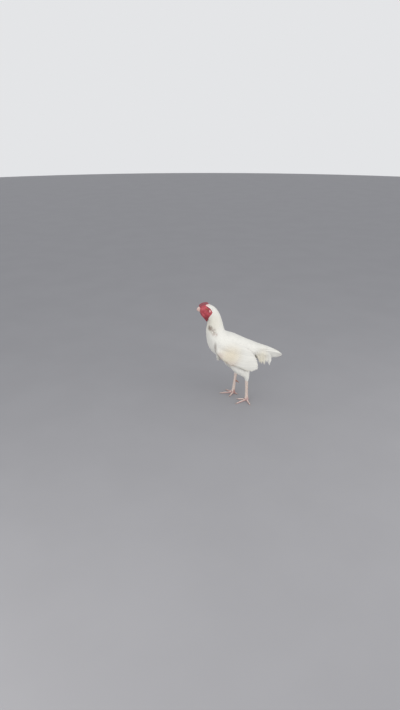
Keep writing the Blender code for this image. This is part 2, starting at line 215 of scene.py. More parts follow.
def treeOfPlaces(places):
    tree = kdtree.KDTree(len(places))
    for k, place in enumerate(places.tolist()):
        tree.insert(place, k)
    tree.balance()
    return tree


def spreadOut(places, gaps):  # which places to keep, so that none lies closer to another than the gap
    tree = treeOfPlaces(places)
    free = np.ones(len(places), bool)
    kept = []
    for k in range(len(places)):
        if free[k]:
            kept.append(k)
            for _, other, _ in tree.find_range(places[k], gaps[k]):
                free[other] = False
    return kept


def fromSide(tree, places, side):  # how far out the surface reaches at side-view places, NaN where it doesn't
    inward = (0, -side, 0)
    reach = []
    for x, z in places.reshape(-1, 2).tolist():
        hit = tree.ray_cast((x, side * 0.3, z), inward, 0.3)[0]
        reach.append(hit.y if hit else np.nan)
    return np.array(reach).reshape(places.shape[:-1])


def finishPiece(made, material, nodes=()):
    made.data.materials.clear()
    made.data.materials.append(material)
    made.data.shade_smooth()
    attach(made, "root")
    if nodes:
        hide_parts(*nodes)
    print(f"{made.name}: {sum(len(face.vertices) - 2 for face in made.data.polygons)} triangles")


# Landmarks

eyeAt = {side: boxPlace("eye_" + side) for side in sides}
eyeRadius = (boxPlace("eye_left", z=1) - boxPlace("eye_left", z=0))[2] / 2
eyeMiddle = (eyeAt["left"] + eyeAt["right"]) / 2
middleY = eyeMiddle[1]
soleAt = {side: boxPlace("shank_" + side, z=0) for side in sides}
hockZ = max(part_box("shank_" + side)[1].z for side in sides)

# The edge of the bare face in side view, as x and z from the eye.
faceEdge = {
    "line": [
        (0.060, 0.060), (0.0060, 0.060), (0.0060, 0.0250), (0.0003, 0.0180), (-0.0061, 0.0137),
        (-0.0142, 0.0082), (-0.0221, -0.0004), (-0.0272, -0.0104), (-0.0288, -0.0199),
        (-0.0237, -0.0282), (-0.0169, -0.0360), (-0.0120, -0.0463), (-0.0090, -0.0607),
        (-0.0070, -0.0750), (0.060, -0.0750),
    ],
    "softness": 0.0006,
    "under": 0.0014,  # how far the red skin goes in under the first feathers
}


def fromFaceEdge(places):  # metres past the face's edge, under zero on the bare side
    line = np.array(faceEdge["line"]) + eyeMiddle[[0, 2]]
    spots = places[..., [0, 2]].reshape(-1, 2)
    least = np.full(len(spots), np.inf)
    inside = np.zeros(len(spots), bool)
    for start, end in zip(line, np.roll(line, -1, axis=0)):
        along = end - start
        share = np.clip(((spots - start) @ along) / (along @ along), 0, 1)
        least = np.minimum(least, np.linalg.norm(spots - start - share[:, None] * along, axis=1))
        crosses = (start[1] > spots[:, 1]) != (end[1] > spots[:, 1])
        rise = (spots[:, 1] - start[1]) / (along[1] if abs(along[1]) > 1e-9 else 1e-9)
        inside ^= crosses & (spots[:, 0] < start[0] + rise * along[0])
    return np.where(inside, -least, least).reshape(places.shape[:-1])


# Shader groups and materials

def feed(tree, socket, value):  # a link where the value is a socket, and a set number otherwise
    if isinstance(value, bpy.types.NodeSocket):
        tree.links.new(value, socket)
    else:
        socket.default_value = value


def newNode(tree, kind, inputs=(), **settings):  # inputs in order, or by name in a dictionary
    made = tree.nodes.new("ShaderNode" + kind)
    for key, value in settings.items():
        setattr(made, key, value)
    for key, value in inputs.items() if isinstance(inputs, dict) else enumerate(inputs):
        feed(tree, made.inputs[key], value)
    return made.outputs


def maths(tree, operation, *values):
    return newNode(tree, "Math", values, operation=operation)[0]


def times(tree, first, second):
    return maths(tree, "MULTIPLY", first, second)


def plus(tree, first, second):
    return maths(tree, "ADD", first, second)


def minus(tree, first, second):
    return maths(tree, "SUBTRACT", first, second)


def vectorMaths(tree, operation, *values):
    return newNode(tree, "VectorMath", values, operation=operation)


def blend(tree, share, first, second, way="MIX"):
    first, second = (
        value if isinstance(value, bpy.types.NodeSocket) else (*value, 1) for value in (first, second)
    )
    return newNode(tree, "Mix", {0: share, 6: first, 7: second}, data_type="RGBA", blend_type=way)[2]


def shadedBy(tree, colour, shade):
    return blend(tree, 1.0, colour, newNode(tree, "CombineColor", (shade, shade, shade))[0], "MULTIPLY")


def ranged(tree, value, low, high, ends=(0.0, 1.0)):
    inputs = {"Value": value, "From Min": low, "From Max": high, "To Min": ends[0], "To Max": ends[1]}
    return newNode(tree, "MapRange", inputs, interpolation_type="SMOOTHSTEP")["Result"]


def noiseMask(tree, vector, scale, low, high, detail=3.0):
    made = newNode(tree, "TexNoise", {"Vector": vector, "Scale": scale, "Detail": detail})
    return ranged(tree, made["Fac"], low, high)


def softSpot(tree, vector, middle, reach, core):  # 1 inside an ellipsoid, fading to 0 at its edge
    away = vectorMaths(tree, "SUBTRACT", vector, tuple(middle))[0]
    length = vectorMaths(tree, "LENGTH", vectorMaths(tree, "DIVIDE", away, tuple(reach))[0])["Value"]
    return ranged(tree, length, core, 1.0, (1.0, 0.0))


def dab(tree, colour, tint, place, middle, reach, strength, core):  # a soft spot of another colour
    return blend(tree, times(tree, softSpot(tree, place, middle, reach, core), strength), colour, tint)


def newGroup(name, inputs, outputs):
    group = bpy.data.node_groups.new(name, "ShaderNodeTree")
    for direction, sockets in (("INPUT", inputs), ("OUTPUT", outputs)):
        for label, kind in sockets.items():
            group.interface.new_socket(name=label, in_out=direction, socket_type="NodeSocket" + kind)
    return group, group.nodes.new("NodeGroupInput").outputs, group.nodes.new("NodeGroupOutput").inputs


def useGroup(tree, group, **values):
    return newNode(tree, "Group", values, node_tree=group)


plumageLook = {
    "white": (0.78, 0.775, 0.735),
    "ivory": (0.735, 0.715, 0.625),  # the neck
    "cream": (0.71, 0.645, 0.520),  # the wing and the belly
    "straw": (0.80, 0.75, 0.61),  # the saddle
    "grey": (0.66, 0.65, 0.62),  # painted shade at the tips of the tail
    "brown": (0.60, 0.505, 0.450),  # the belly and the lower wings: their own tint, with painted shade underneath
    "stain": (0.235, 0.185, 0.150),
    "dustAndShade": (0.40, 0.35, 0.31),
    "rust": (0.40, 0.20, 0.13),
    "pink": (0.80, 0.57, 0.55),
    "shadow": (0.42, 0.39, 0.36),
}


def bothSides(name, offset, *look):  # a spot and its mirror image
    return [(name, eyeMiddle + np.array(offset) * (1, way, 1), *look) for way in (1, -1)]


def buildMarkingsAndShade():  # the colours of the plumage with its painted shade, the same on the skin and on the feathers
    tree, given, result = newGroup("plumageMarkingsAndShade", {"Place": "Vector"}, {"Color": "Color"})
    place, look = given["Place"], plumageLook
    spots = [  # colour, middle, reach, strength and the share of the reach before it fades
        ("ivory", boxPlace("neck_upper", 0.6, 0.5, 0.3), (0.060, 0.075, 0.085), 0.75, 0.4),
        *bothSides("cream", (-0.112, 0.088, -0.262), (0.100, 0.085, 0.090), 0.90, 0.10),
        # browner low on the wings and the body: their own tint, with painted shade underneath
        ("brown", eyeMiddle + (-0.118, 0.060, -0.310), (0.068, 0.050, 0.038), 0.75, 0.15),
        *bothSides("brown", (-0.057, 0.074, -0.254), (0.030, 0.030, 0.032), 0.60, 0.10),
        ("brown", boxPlace("trunk", 0.55, 0.5, 0.0), (0.120, 0.060, 0.050), 0.75, 0.30),
        ("straw", boxPlace("rump", 0.25, 0.5, 0.10), (0.075, 0.100, 0.085), 0.80, 0.35),
        # painted shade at the low tips of the tail
        ("grey", boxPlace("tail", 0.0, 0.5, 0.2), (0.060, 0.060, 0.040), 0.60, 0.20),
        *bothSides("pink", (-0.006, 0.012, 0.020), (0.016, 0.020, 0.012), 0.75, 0.30),
        ("pink", eyeMiddle + (-0.003, 0.010, -0.086), (0.012, 0.020, 0.022), 0.40, 0.20),
        ("shadow", eyeMiddle + (-0.037, 0.058, -0.208), (0.0085, 0.026, 0.042), 0.90, 0.05),
        # browner under the body: its own tint, with painted shade underneath
        ("brown", eyeMiddle + (-0.095, 0.020, -0.318), (0.065, 0.050, 0.034), 0.75, 0.20),
    ]
    for k in range(5):  # the shade along the upper edge of the closed wings
        offset = (-0.226 - 0.0135 * k, 0.061 - 0.003 * k, -0.240 - 0.0115 * k)
        spots += bothSides("shadow", offset, (0.012, 0.014, 0.0070), 0.32, 0.1)
    patchy = noiseMask(tree, place, 28.0, 0.30, 0.62)
    colour = blend(tree, patchy, look["white"], tuple(0.965 * value for value in look["white"]))
    for name, *spot in spots:
        colour = dab(tree, colour, look[name], place, *spot)
    # The dirt on the left of the neck: a brown stain, dust under it mixed with painted shade along the lower
    # edge of the hackle, and rusty specks lower down.
    for name, offset, reach, strength, scale, low, high in (
        ("stain", (-0.0160, 0.0260, -0.1060), (0.020, 0.026, 0.022), 0.90, 150.0, 0.27, 0.47),
        ("dustAndShade", (-0.0290, 0.0380, -0.1190), (0.024, 0.030, 0.026), 0.85, 120.0, 0.30, 0.54),
        ("dustAndShade", (-0.0380, 0.0480, -0.1390), (0.022, 0.026, 0.016), 0.60, 160.0, 0.34, 0.56),
        ("rust", (-0.0360, 0.0480, -0.1370), (0.020, 0.026, 0.017), 0.75, 300.0, 0.54, 0.64),
    ):
        rough = noiseMask(tree, place, scale, low, high)
        spot = softSpot(tree, place, eyeMiddle + offset, reach, 0.25)
        colour = blend(tree, times(tree, times(tree, spot, rough), strength), colour, look[name])
    feed(tree, result["Color"], colour)
    return tree


reliefOutputs = {"Height": "Float", "Shade": "Float"}


def buildBarbs():  # the shaft and the fine slanting barbs of a feather, from its own map in millimetres
    tree, given, result = newGroup("featherBarbs", {"Vane": "Vector", "Pitch": "Float"}, reliefOutputs)
    split = newNode(tree, "SeparateXYZ", [given["Vane"]])
    across = maths(tree, "ABSOLUTE", split["X"])
    slant = minus(tree, split["Y"], times(tree, across, 1.3))
    turns = maths(tree, "DIVIDE", times(tree, slant, 2 * math.pi), given["Pitch"])
    wave = maths(tree, "MULTIPLY_ADD", maths(tree, "SINE", turns), 0.5, 0.5)
    shaft = ranged(tree, across, 0.15, 0.55, (1.0, 0.0))
    feed(tree, result["Height"], plus(tree, times(tree, wave, 0.22), times(tree, shaft, 0.7)))
    shade = plus(tree, times(tree, wave, 0.025), times(tree, shaft, 0.02))
    feed(tree, result["Shade"], plus(tree, shade, 0.965))
    return tree


def warped(tree, place, size, amount):  # places shifted about a little, so that no pattern looks even
    drift = newNode(tree, "TexNoise", {"Vector": place, "Scale": maths(tree, "DIVIDE", 0.7, size)})["Color"]
    centred = vectorMaths(tree, "SUBTRACT", drift, (0.5, 0.5, 0.5))[0]
    inputs = {0: centred, "Scale": times(tree, size, amount)}
    return vectorMaths(tree, "ADD", place, newNode(tree, "VectorMath", inputs, operation="SCALE")[0])[0]


def cells(tree, place, size, feature):
    inputs = {"Vector": place, "Scale": maths(tree, "DIVIDE", 1.0, size)}
    return newNode(tree, "TexVoronoi", inputs, feature=feature)["Distance"]


def buildWrinkles():  # fine round grains and longer creases of bare skin
    tree, given, result = newGroup("skinGrain", {"Place": "Vector", "Size": "Float"}, reliefOutputs)
    size = given["Size"]
    place = warped(tree, given["Place"], size, 1.6)
    pebble = ranged(tree, cells(tree, place, size, "F1"), 0.08, 0.72, (1.0, 0.0))
    crease = noiseMask(tree, place, maths(tree, "DIVIDE", 0.28, size), 0.36, 0.60, detail=4.0)
    feed(tree, result["Height"], plus(tree, times(tree, pebble, 0.6), crease))
    shade = times(tree, maths(tree, "MULTIPLY_ADD", pebble, 0.5, crease), 0.22)
    feed(tree, result["Shade"], plus(tree, shade, 0.70))
    return tree


def buildPlates():  # small flat horny plates with grooves between them
    tree, given, result = newGroup("legPlates", {"Place": "Vector", "Size": "Float"}, reliefOutputs)
    size = given["Size"]
    plate = cells(tree, warped(tree, given["Place"], size, 0.5), size, "DISTANCE_TO_EDGE")
    plate = ranged(tree, plate, 0.0, 0.20)
    feed(tree, result["Height"], plate)
    feed(tree, result["Shade"], maths(tree, "MULTIPLY_ADD", plate, 0.20, 0.80))
    return tree


groups = {
    "markingsAndShade": buildMarkingsAndShade(), "barbs": buildBarbs(), "grain": buildWrinkles(), "plates": buildPlates()
}


def newMaterial(name, roughness):
    made = bpy.data.materials.new(name)
    made.use_nodes = True
    tree = made.node_tree
    shader = tree.nodes["Principled BSDF"].inputs
    shader["Roughness"].default_value = roughness
    return made, tree, shader, newNode(tree, "TexCoord")["Object"]


def bump(tree, shader, height, distance):
    made = newNode(tree, "Bump", {"Distance": distance, "Height": height})
    feed(tree, shader["Normal"], made["Normal"])


def attribute(tree, name):
    return newNode(tree, "Attribute", attribute_name=name)["Fac"]


def featherMaterial(name, pitch, relief, roughness):
    made, tree, shader, place = newMaterial(name, roughness)
    colour = useGroup(tree, groups["markingsAndShade"], Place=place)["Color"]
    vane = newNode(tree, "UVMap", uv_map="vane")["UV"]
    barbs = useGroup(tree, groups["barbs"], Vane=vane, Pitch=pitch)
    shade = times(tree, barbs["Shade"], attribute(tree, "toneAndShade"))
    feed(tree, shader["Base Color"], shadedBy(tree, colour, shade))
    bump(tree, shader, barbs["Height"], relief)
    return made


skinLook = {
    "face": (0.52, 0.072, 0.096),
    "facePale": (0.65, 0.20, 0.215),
    "faceDeep": (0.21, 0.016, 0.026),
    # the colour of the painted shade in the face's hollows
    "hollow": (0.10, 0.012, 0.018),
    "comb": (0.205, 0.031, 0.047),
    "combPale": (0.320, 0.080, 0.100),
    "lobe": (0.80, 0.42, 0.42),
    "leg": (0.74, 0.62, 0.55),
    "toe": (0.56, 0.375, 0.36),
    "toeDeep": (0.30, 0.130, 0.115),
    "grain": 0.00095,
    "plate": 0.0021,
}


def skinMaterial():
    made, tree, shader, place = newMaterial("skin", 0.55)
    look = skinLook
    grain = useGroup(tree, groups["grain"], Place=place, Size=look["grain"])
    plates = useGroup(tree, groups["plates"], Place=place, Size=look["plate"])
    scaly, bare = attribute(tree, "scaly"), attribute(tree, "bare")
    coat = useGroup(tree, groups["markingsAndShade"], Place=place)["Color"]
    under = blend(tree, 1.0, coat, (0.92, 0.90, 0.87), "MULTIPLY")
    flush = noiseMask(tree, place, 95.0, 0.38, 0.66)
    powder = noiseMask(tree, place, 420.0, 0.52, 0.72)
    # Darker red in random flushes, and painted shade on the throat under the jaw.
    throat = softSpot(tree, place, boxPlace("wattle_left", 0.25, 0.5, 0.25), (0.030, 0.05, 0.034), 0.3)
    deep = plus(tree, times(tree, flush, 0.35), times(tree, throat, 0.75))
    red = blend(tree, times(tree, powder, 0.45), look["face"], look["facePale"])
    red = blend(tree, maths(tree, "MINIMUM", deep, 1.0), red, look["faceDeep"])
    # Painted shade on the chin under the bill, and a paler patch on the face before the eye.
    for name, offset, reach, strength in (
        ("faceDeep", (0.0300, 0.0, -0.0280), (0.013, 0.03, 0.015), 0.60),
        ("facePale", (0.0205, 0.0, 0.0035), (0.012, 0.03, 0.011), 0.40),
    ):
        red = dab(tree, red, look[name], place, eyeMiddle + offset, reach, strength, 0.2)
    # Painted shade in the hollows of the face.
    red = blend(tree, attribute(tree, "deep"), red, look["hollow"])
    colour = blend(tree, bare, under, red)
    # The comb is paler on the tops of its beads and darker in the creases between them: painted light and
    # shade.
    peaks = blend(tree, attribute(tree, "peak"), look["comb"], look["combPale"])
    colour = blend(tree, attribute(tree, "comb"), colour, peaks)
    colour = blend(tree, attribute(tree, "lobe"), colour, look["lobe"])
    # The legs turn darker and redder towards the ground: the toes' own colour, with painted shade near the
    # ground.
    low = ranged(tree, newNode(tree, "SeparateXYZ", [place])["Z"], 0.034, 0.012)
    foot = blend(tree, low, look["leg"], look["toe"])
    foot = blend(tree, times(tree, flush, 0.45), foot, look["toe"])
    # Painted shade on the far foot, about its ankle and hind toe.
    farFootShade = boxPlace("shank_right", 0.3, 0.5, 0.05)
    foot = dab(tree, foot, look["toeDeep"], place, farFootShade, (0.030, 0.030, 0.030), 0.60, 0.3)
    colour = blend(tree, scaly, colour, foot)
    # Grains show on the bare head, and plates on the legs.
    fine = times(tree, bare, minus(tree, 1.0, scaly))
    shade = 1.0
    for where, relief in ((fine, grain), (scaly, plates)):
        shade = minus(tree, shade, times(tree, where, minus(tree, 1.0, relief["Shade"])))
    feed(tree, shader["Base Color"], shadedBy(tree, colour, shade))
    onHead = times(tree, times(tree, fine, 0.6), grain["Height"])
    bump(tree, shader, plus(tree, onHead, times(tree, scaly, plates["Height"])), 0.0004)
    return made


def hornMaterial(name, colour, deep, roughness, size):
    made, tree, shader, place = newMaterial(name, roughness)
    streaks = newNode(tree, "Mapping", {"Scale": (6.0, 1.0, 1.0), "Vector": place}, vector_type="TEXTURE")[0]
    share = noiseMask(tree, streaks, 1 / size, 0.35, 0.68)
    feed(tree, shader["Base Color"], blend(tree, share, colour, deep))
    bump(tree, shader, share, 0.00007)
    return made


def eyeMaterial():
    made, tree, shader, place = newMaterial("eye", 0.06)
    shader["Coat Weight"].default_value = 0.6
    away = attribute(tree, "fromPupil")
    fibres = noiseMask(tree, place, 900.0, 0.3, 0.7)
    colour = blend(tree, fibres, (0.62, 0.27, 0.06), (0.42, 0.14, 0.03))
    for low, high, ends, tint in (  # the dark rim of the iris, the white around it and the pupil
        (0.78, 0.96, (0.0, 1.0), (0.10, 0.035, 0.02)),
        (0.98, 1.05, (0.0, 1.0), (0.30, 0.10, 0.08)),
        (0.40, 0.46, (1.0, 0.0), (0.004, 0.004, 0.004)),
    ):
        colour = blend(tree, ranged(tree, away, low, high, ends), colour, tint)
    feed(tree, shader["Base Color"], colour)
    return made


materials = {
    "skin": skinMaterial(),
    "body": featherMaterial("plumage", 0.9, 0.00025, 0.85),
    "hackle": featherMaterial("hackle", 0.7, 0.00025, 0.72),
    "saddle": featherMaterial("saddle", 0.7, 0.00025, 0.72),
    "flight": featherMaterial("flight", 1.0, 0.0003, 0.75),
    "scute": hornMaterial("scutes", (0.74, 0.64, 0.58), (0.62, 0.50, 0.45), 0.45, 0.004),
    "beak": hornMaterial("beak", (0.66, 0.48, 0.44), (0.50, 0.32, 0.29), 0.35, 0.006),
    "claw": hornMaterial("claw", (0.62, 0.50, 0.44), (0.40, 0.28, 0.24), 0.35, 0.003),
    "spur": hornMaterial("spur", (0.36, 0.17, 0.11), (0.22, 0.09, 0.06), 0.4, 0.004),
    "eye": eyeMaterial(),
}
print("materials made")


# The outline that the feathers are laid to, and the skin under them

outlineLook = {"voxel": 0.0026, "swell": 0.0005, "rounds": 3}
outline = remeshed("outline", fleshNodes, outlineLook["voxel"], outlineLook["swell"], outlineLook["rounds"])
outlineTree = treeOf([outline.data])
outline.data.calc_loop_triangles()
outlineCorners = np.array([tuple(face.vertices) for face in outline.data.loop_triangles])
outlineTriangles = pointsOf(outline.data)[outlineCorners]
print("outline made", len(outlineTriangles))

cadTree = treeOf(cadMeshes(fleshNodes))
cadOwners = np.repeat(fleshNodes, [len(mesh.polygons) for mesh in cadMeshes(fleshNodes)])


def ownersOf(places):
    return cadOwners[nearest(cadTree, places)[2]]


def startsWith(names, *starts):
    return np.logical_or.reduce([np.char.startswith(names, start) for start in starts])


coat = {"body": 0.0020, "wing": 0.0018, "mostOfThickness": 0.34, "edge": 0.010, "hock": 0.012}


def featheredShare(places, owners):  # 0 where the skin is bare, 1 under the full coat
    depth = smoothStep(fromFaceEdge(places), 0.0, coat["edge"])
    depth[startsWith(owners, "shank", "toe", "comb", "wattle", "earlobe")] = 0
    aroundHock = smoothStep(places[:, 2], hockZ, hockZ + coat["hock"])
    return np.where(startsWith(owners, "thigh"), depth * aroundHock, depth)


def subdivideWhere(made, chosen):
    mesh = made.data
    picked = np.array([chosen[face.vertices[0]] for face in mesh.polygons])
    selectOnly(made)
    bpy.ops.object.mode_set(mode="EDIT")
    bpy.ops.mesh.select_mode(type="FACE")
    bpy.ops.mesh.select_all(action="DESELECT")
    bpy.ops.object.mode_set(mode="OBJECT")
    mesh.polygons.foreach_set("select", picked)
    bpy.ops.object.mode_set(mode="EDIT")
    bpy.ops.mesh.subdivide(number_cuts=1)
    bpy.ops.object.mode_set(mode="OBJECT")


headLook = {
    "gaze": (0.22, 0.04),  # how far the eyes are turned to the front and up
    "lidAngles": (math.radians(50), math.radians(41)),  # half the eye's opening, along and up
    "lidThickness": 0.00055,
    "lidTaper": (0.35, 14),  # how much thinner the lids get, and by how many degrees past the opening
    "lidHold": (8, 30),  # degrees past the opening over which the skin leaves the eyeball
    "lidReach": (2.2, math.radians(85)),  # in eyeball radii, and around the eyeball
    "behindLid": (-1.5, 0.80),  # degrees from which the skin lies inside, and the share of the radius there
    "ridge": 0.0015,
    "rings": ((0.0084, 0.0013, 1.0), (0.0108, 0.0009, -0.55)),  # around the eye: radius, reach and height
    "bag": ((0.0130, 0.0012, 0.35),),
    "brow": 0.0015,
    "bead": 0.0039,
    "beadRelief": 0.0012,
    "fold": 0.0003,
    "pleat": (0.0031, 0.00020),
    "lobe": 0.0009,
    "lip": 0.0008,
    "gape": 0.0007,
    "gapeRows": ((0.0014, 0.0009, 0.5), (0.0, 0.0006, -1.0), (-0.0014, 0.0009, 0.5)),
}


def eyeAxes(side):  # outward, forward and up from the eye, turned a little to the front
    front, rise = headLook["gaze"]
    outward = unit(np.array([front, sides[side], rise]))
    forward = unit(np.cross(outward, (0, 0, 1)) * -sides[side])
    return outward, forward, np.cross(forward, outward) * -sides[side]


def lidOpening(turn):  # half the angle that the lids leave open, in each direction around the eye
    wide, high = headLook["lidAngles"]
    return 1 / np.sqrt((np.cos(turn) / wide) ** 2 + (np.sin(turn) / high) ** 2)


def beadsOn(places, picked):  # round beads with creases between them, 1 on top and 0 in the creases
    spots = places[chance.permutation(np.flatnonzero(picked))]
    seeds = spots[spreadOut(spots, np.full(len(spots), headLook["bead"]))]
    tree = treeOfPlaces(seeds)
    height = np.zeros(len(places))
    for k in np.flatnonzero(picked):
        (_, _, first), (_, _, second) = tree.find_n(places[k], 2)
        height[k] = min((second - first) / (0.75 * headLook["bead"]), 1)
    return np.sqrt(1 - (1 - height) ** 2) * picked


def closeLids(places):  # draws the skin around the eyes on to the eyeballs, up to the lids' opening
    look = headLook
    (thinner, taperEnd), (radii, most) = look["lidTaper"], look["lidReach"]
    behind, inside = look["behindLid"]
    for side in sides:
        outward, forward, up = eyeAxes(side)
        away = places - eyeAt[side]
        reach = np.linalg.norm(away, axis=1)
        angle = np.arccos(np.clip(away @ outward / np.maximum(reach, 1e-9), -1, 1))
        near = (reach < eyeRadius * radii) & (angle < most)
        past = np.degrees(angle - lidOpening(np.arctan2(away @ up, away @ forward)))
        lid = eyeRadius + look["lidThickness"] * (1 - thinner * smoothStep(past, 0, taperEnd))
        target = np.where(past < behind, eyeRadius * inside, lid)
        share = np.where(past < 0, 1.0, 1 - smoothStep(past, *look["lidHold"])) * near
        places = places + away / np.maximum(reach, 1e-9)[:, None] * ((target - reach) * share)[:, None]
    return places


def sculptHead(places, ups, owners):
    look = headLook
    x, y, z = places[:, 0], places[:, 1] - middleY, places[:, 2]
    comb, wattle = startsWith(owners, "comb"), startsWith(owners, "wattle")
    peak = beadsOn(places, comb)
    rise = look["beadRelief"] * (peak - 0.45) * comb
    bare = fromFaceEdge(places) < 0.001
    folds = noiseAt(places * np.array([1.0, 1.0, 0.45]), 0.0045) + 0.25 * noiseAt(places, 0.0019, 2)
    rise += look["fold"] * folds * (bare & ~comb)
    gap, depth = look["pleat"]
    swing = noiseAt(places * np.array([1.0, 0.4, 0.5]), 0.008, 2)
    rise += depth * np.cos(2 * np.pi * (x + 0.35 * z + 0.0022 * swing) / gap) * wattle
    beakAt, gapeZ = boxPlace("beak_upper", 0.0)[0], boxPlace("beak_lower", z=1.0)[2]
    sideways = np.clip(1 - np.abs(ups[:, 0]) * 1.2, 0, 1)
    rise += look["lip"] * bell(x, beakAt - 0.0014, 0.0013) * sideways * (z < boxPlace("comb", z=0.3)[2])
    crease = z - gapeZ + 0.25 * (beakAt - x)
    corner = smoothStep(x, beakAt - 0.0150, beakAt - 0.0100) * (np.abs(y) > 0.004)
    rise += look["gape"] * corner * bells(crease, look["gapeRows"])
    for side, way in sides.items():
        onSide = y * way > 0.004
        away = places[:, [0, 2]] - eyeAt[side][[0, 2]]
        reach = np.linalg.norm(away * np.array([0.86, 1.0]), axis=1)
        ring = bells(reach, look["rings"]) + bells(reach, look["bag"]) * (away[:, 1] < 0.002)
        rise += look["ridge"] * ring * onSide
        arch = away[:, 1] - 0.0090 + 18.0 * away[:, 0] ** 2
        rise += look["brow"] * bell(arch, 0.0, 0.0020) * bell(away[:, 0], 0.001, 0.0075) * onSide
        low, high = (np.array(corner)[[0, 2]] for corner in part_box("earlobe_" + side))
        away = (places[:, [0, 2]] - (low + high) / 2) / ((high - low) / 2)
        reach = np.linalg.norm(away, axis=1)
        lobe = np.clip(1.15 - reach**2, 0, 1) - 0.8 * bell(reach, 1.25, 0.13)
        lobe -= 0.8 * bell(np.hypot(away[:, 0] - 0.4, away[:, 1] - 1.75), 0.0, 0.35)
        rise += look["lobe"] * lobe * onSide
    return closeLids(places + ups * rise[:, None]), peak


def hollows(places):  # painted shade in the hollows of the face: behind the brow, before the earlobe and over the bill
    away = places[:, [0, 2]] - eyeMiddle[[0, 2]]
    behind = smoothStep(-away[:, 0], -0.004, 0.003) * smoothStep(away[:, 1], -0.004, 0.004)
    dark = 0.75 * bell(fromFaceEdge(places), -0.0030, 0.0024) * behind
    for middle, shift, reach in (
        (boxPlace("earlobe_left", 1.0), (0.0035, 0.0020), (0.0042, 0.0060)),
        (boxPlace("beak_upper", 0.0, 0.5, 0.90), (-0.0030, 0.0), (0.0060, 0.0045)),
    ):
        past = (places[:, [0, 2]] - middle[[0, 2]] - shift) / reach
        dark += 0.6 * bell(np.linalg.norm(past, axis=1), 0.0, 1.0)
    return np.clip(dark, 0, 0.85)


def vertexGroup(made, name, chosen):
    made.vertex_groups.new(name=name).add(np.flatnonzero(chosen).tolist(), 1.0, "REPLACE")


def buildSkin():  # the finished skin, and the unwrapped corners of the outline's faces
    outline.name = "skin"
    mesh = outline.data
    editMesh(outline, (bpy.ops.uv.smart_project, {"angle_limit": math.radians(66), "island_margin": 0.002}))
    corners = readRows(mesh.polygons, "loop_start", 1, np.int32) + np.arange(4)
    loops = readRows(mesh.loops, "vertex_index", 1, np.int32)[:, 0]
    layer = mesh.uv_layers[0]
    layer.name = "skinMap"
    unwrap = {"uv": readRows(layer.data, "uv", 2)[corners], "places": pointsOf(mesh)[loops[corners]]}
    target = cadCopy("cadFlesh", fleshNodes)
    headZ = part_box("neck_upper")[1].z - 0.042
    for level in range(2):
        places = pointsOf(mesh)
        onHead = (places[:, 2] > headZ) & (fromFaceEdge(places) < 0.012 - 0.004 * level)
        subdivideWhere(outline, onHead | (places[:, 2] < 0.030) & (level == 0))
    places = pointsOf(mesh)
    fine = (places[:, 2] > headZ) & (fromFaceEdge(places) < 0.006) | (places[:, 2] < 0.026)
    vertexGroup(outline, "fine", fine)
    applyModifier(outline, "SHRINKWRAP", target=target, vertex_group="fine")
    applyModifier(outline, "SMOOTH", factor=0.5, iterations=3, vertex_group="fine")
    places = pointsOf(mesh)
    eyeGap = np.min([np.linalg.norm(places - eyeAt[side], axis=1) for side in sides], axis=0)
    vertexGroup(outline, "soft", (places[:, 2] > headZ) & (fromFaceEdge(places) < 0.004) & (eyeGap > 0.010))
    applyModifier(outline, "SMOOTH", factor=0.5, iterations=8, vertex_group="soft")
    applyModifier(outline, "DECIMATE", ratio=0.72, vertex_group="fine", invert_vertex_group=True)
    bpy.data.objects.remove(target)
    mesh = outline.data
    places, ups = pointsOf(mesh), normalsOf(mesh)
    owners = ownersOf(places)
    # The skin lies in under the coat, but never past a share of the body's thickness there.
    tree = treeOf([mesh])
    spots = (places - ups * 0.0002).tolist()
    through = [tree.ray_cast(spot, (-up).tolist(), 0.04)[3] or 0.04 for spot, up in zip(spots, ups)]
    depth = np.where(startsWith(owners, "wing"), coat["wing"], coat["body"]) * featheredShare(places, owners)
    depth = np.minimum(depth, np.array(through) * coat["mostOfThickness"])
    moved, peak = sculptHead(places, ups, owners)
    past = fromFaceEdge(places) - faceEdge["under"]
    bare = 1 - smoothStep(past, -faceEdge["softness"], faceEdge["softness"])
    bare[startsWith(owners, "wattle", "comb", "earlobe")] = 1
    movePoints(mesh, moved - ups * depth[:, None])
    giveAttribute(mesh, "bare", bare)
    giveAttribute(mesh, "peak", peak)
    giveAttribute(mesh, "deep", hollows(places))
    for name, starts in (("comb", ["comb"]), ("lobe", ["earlobe"]), ("scaly", ["shank", "toe"])):
        giveAttribute(mesh, name, startsWith(owners, *starts))
    outline.vertex_groups.clear()
    finishPiece(outline, materials["skin"], fleshNodes)
    return unwrap


def skinUv(places):
    spots, _, faces = nearest(outlineTree, places)
    gaps = np.linalg.norm(skinMap["places"][faces] - spots[:, None], axis=2)
    weights = 1 / np.maximum(gaps, 1e-6) ** 2
    weights /= weights.sum(1, keepdims=True)
    return (skinMap["uv"][faces] * weights[..., None]).sum(1)


skinMap = buildSkin()
print("skin made")


# Feathers: each is a thin closed vane on a grid of rows and columns

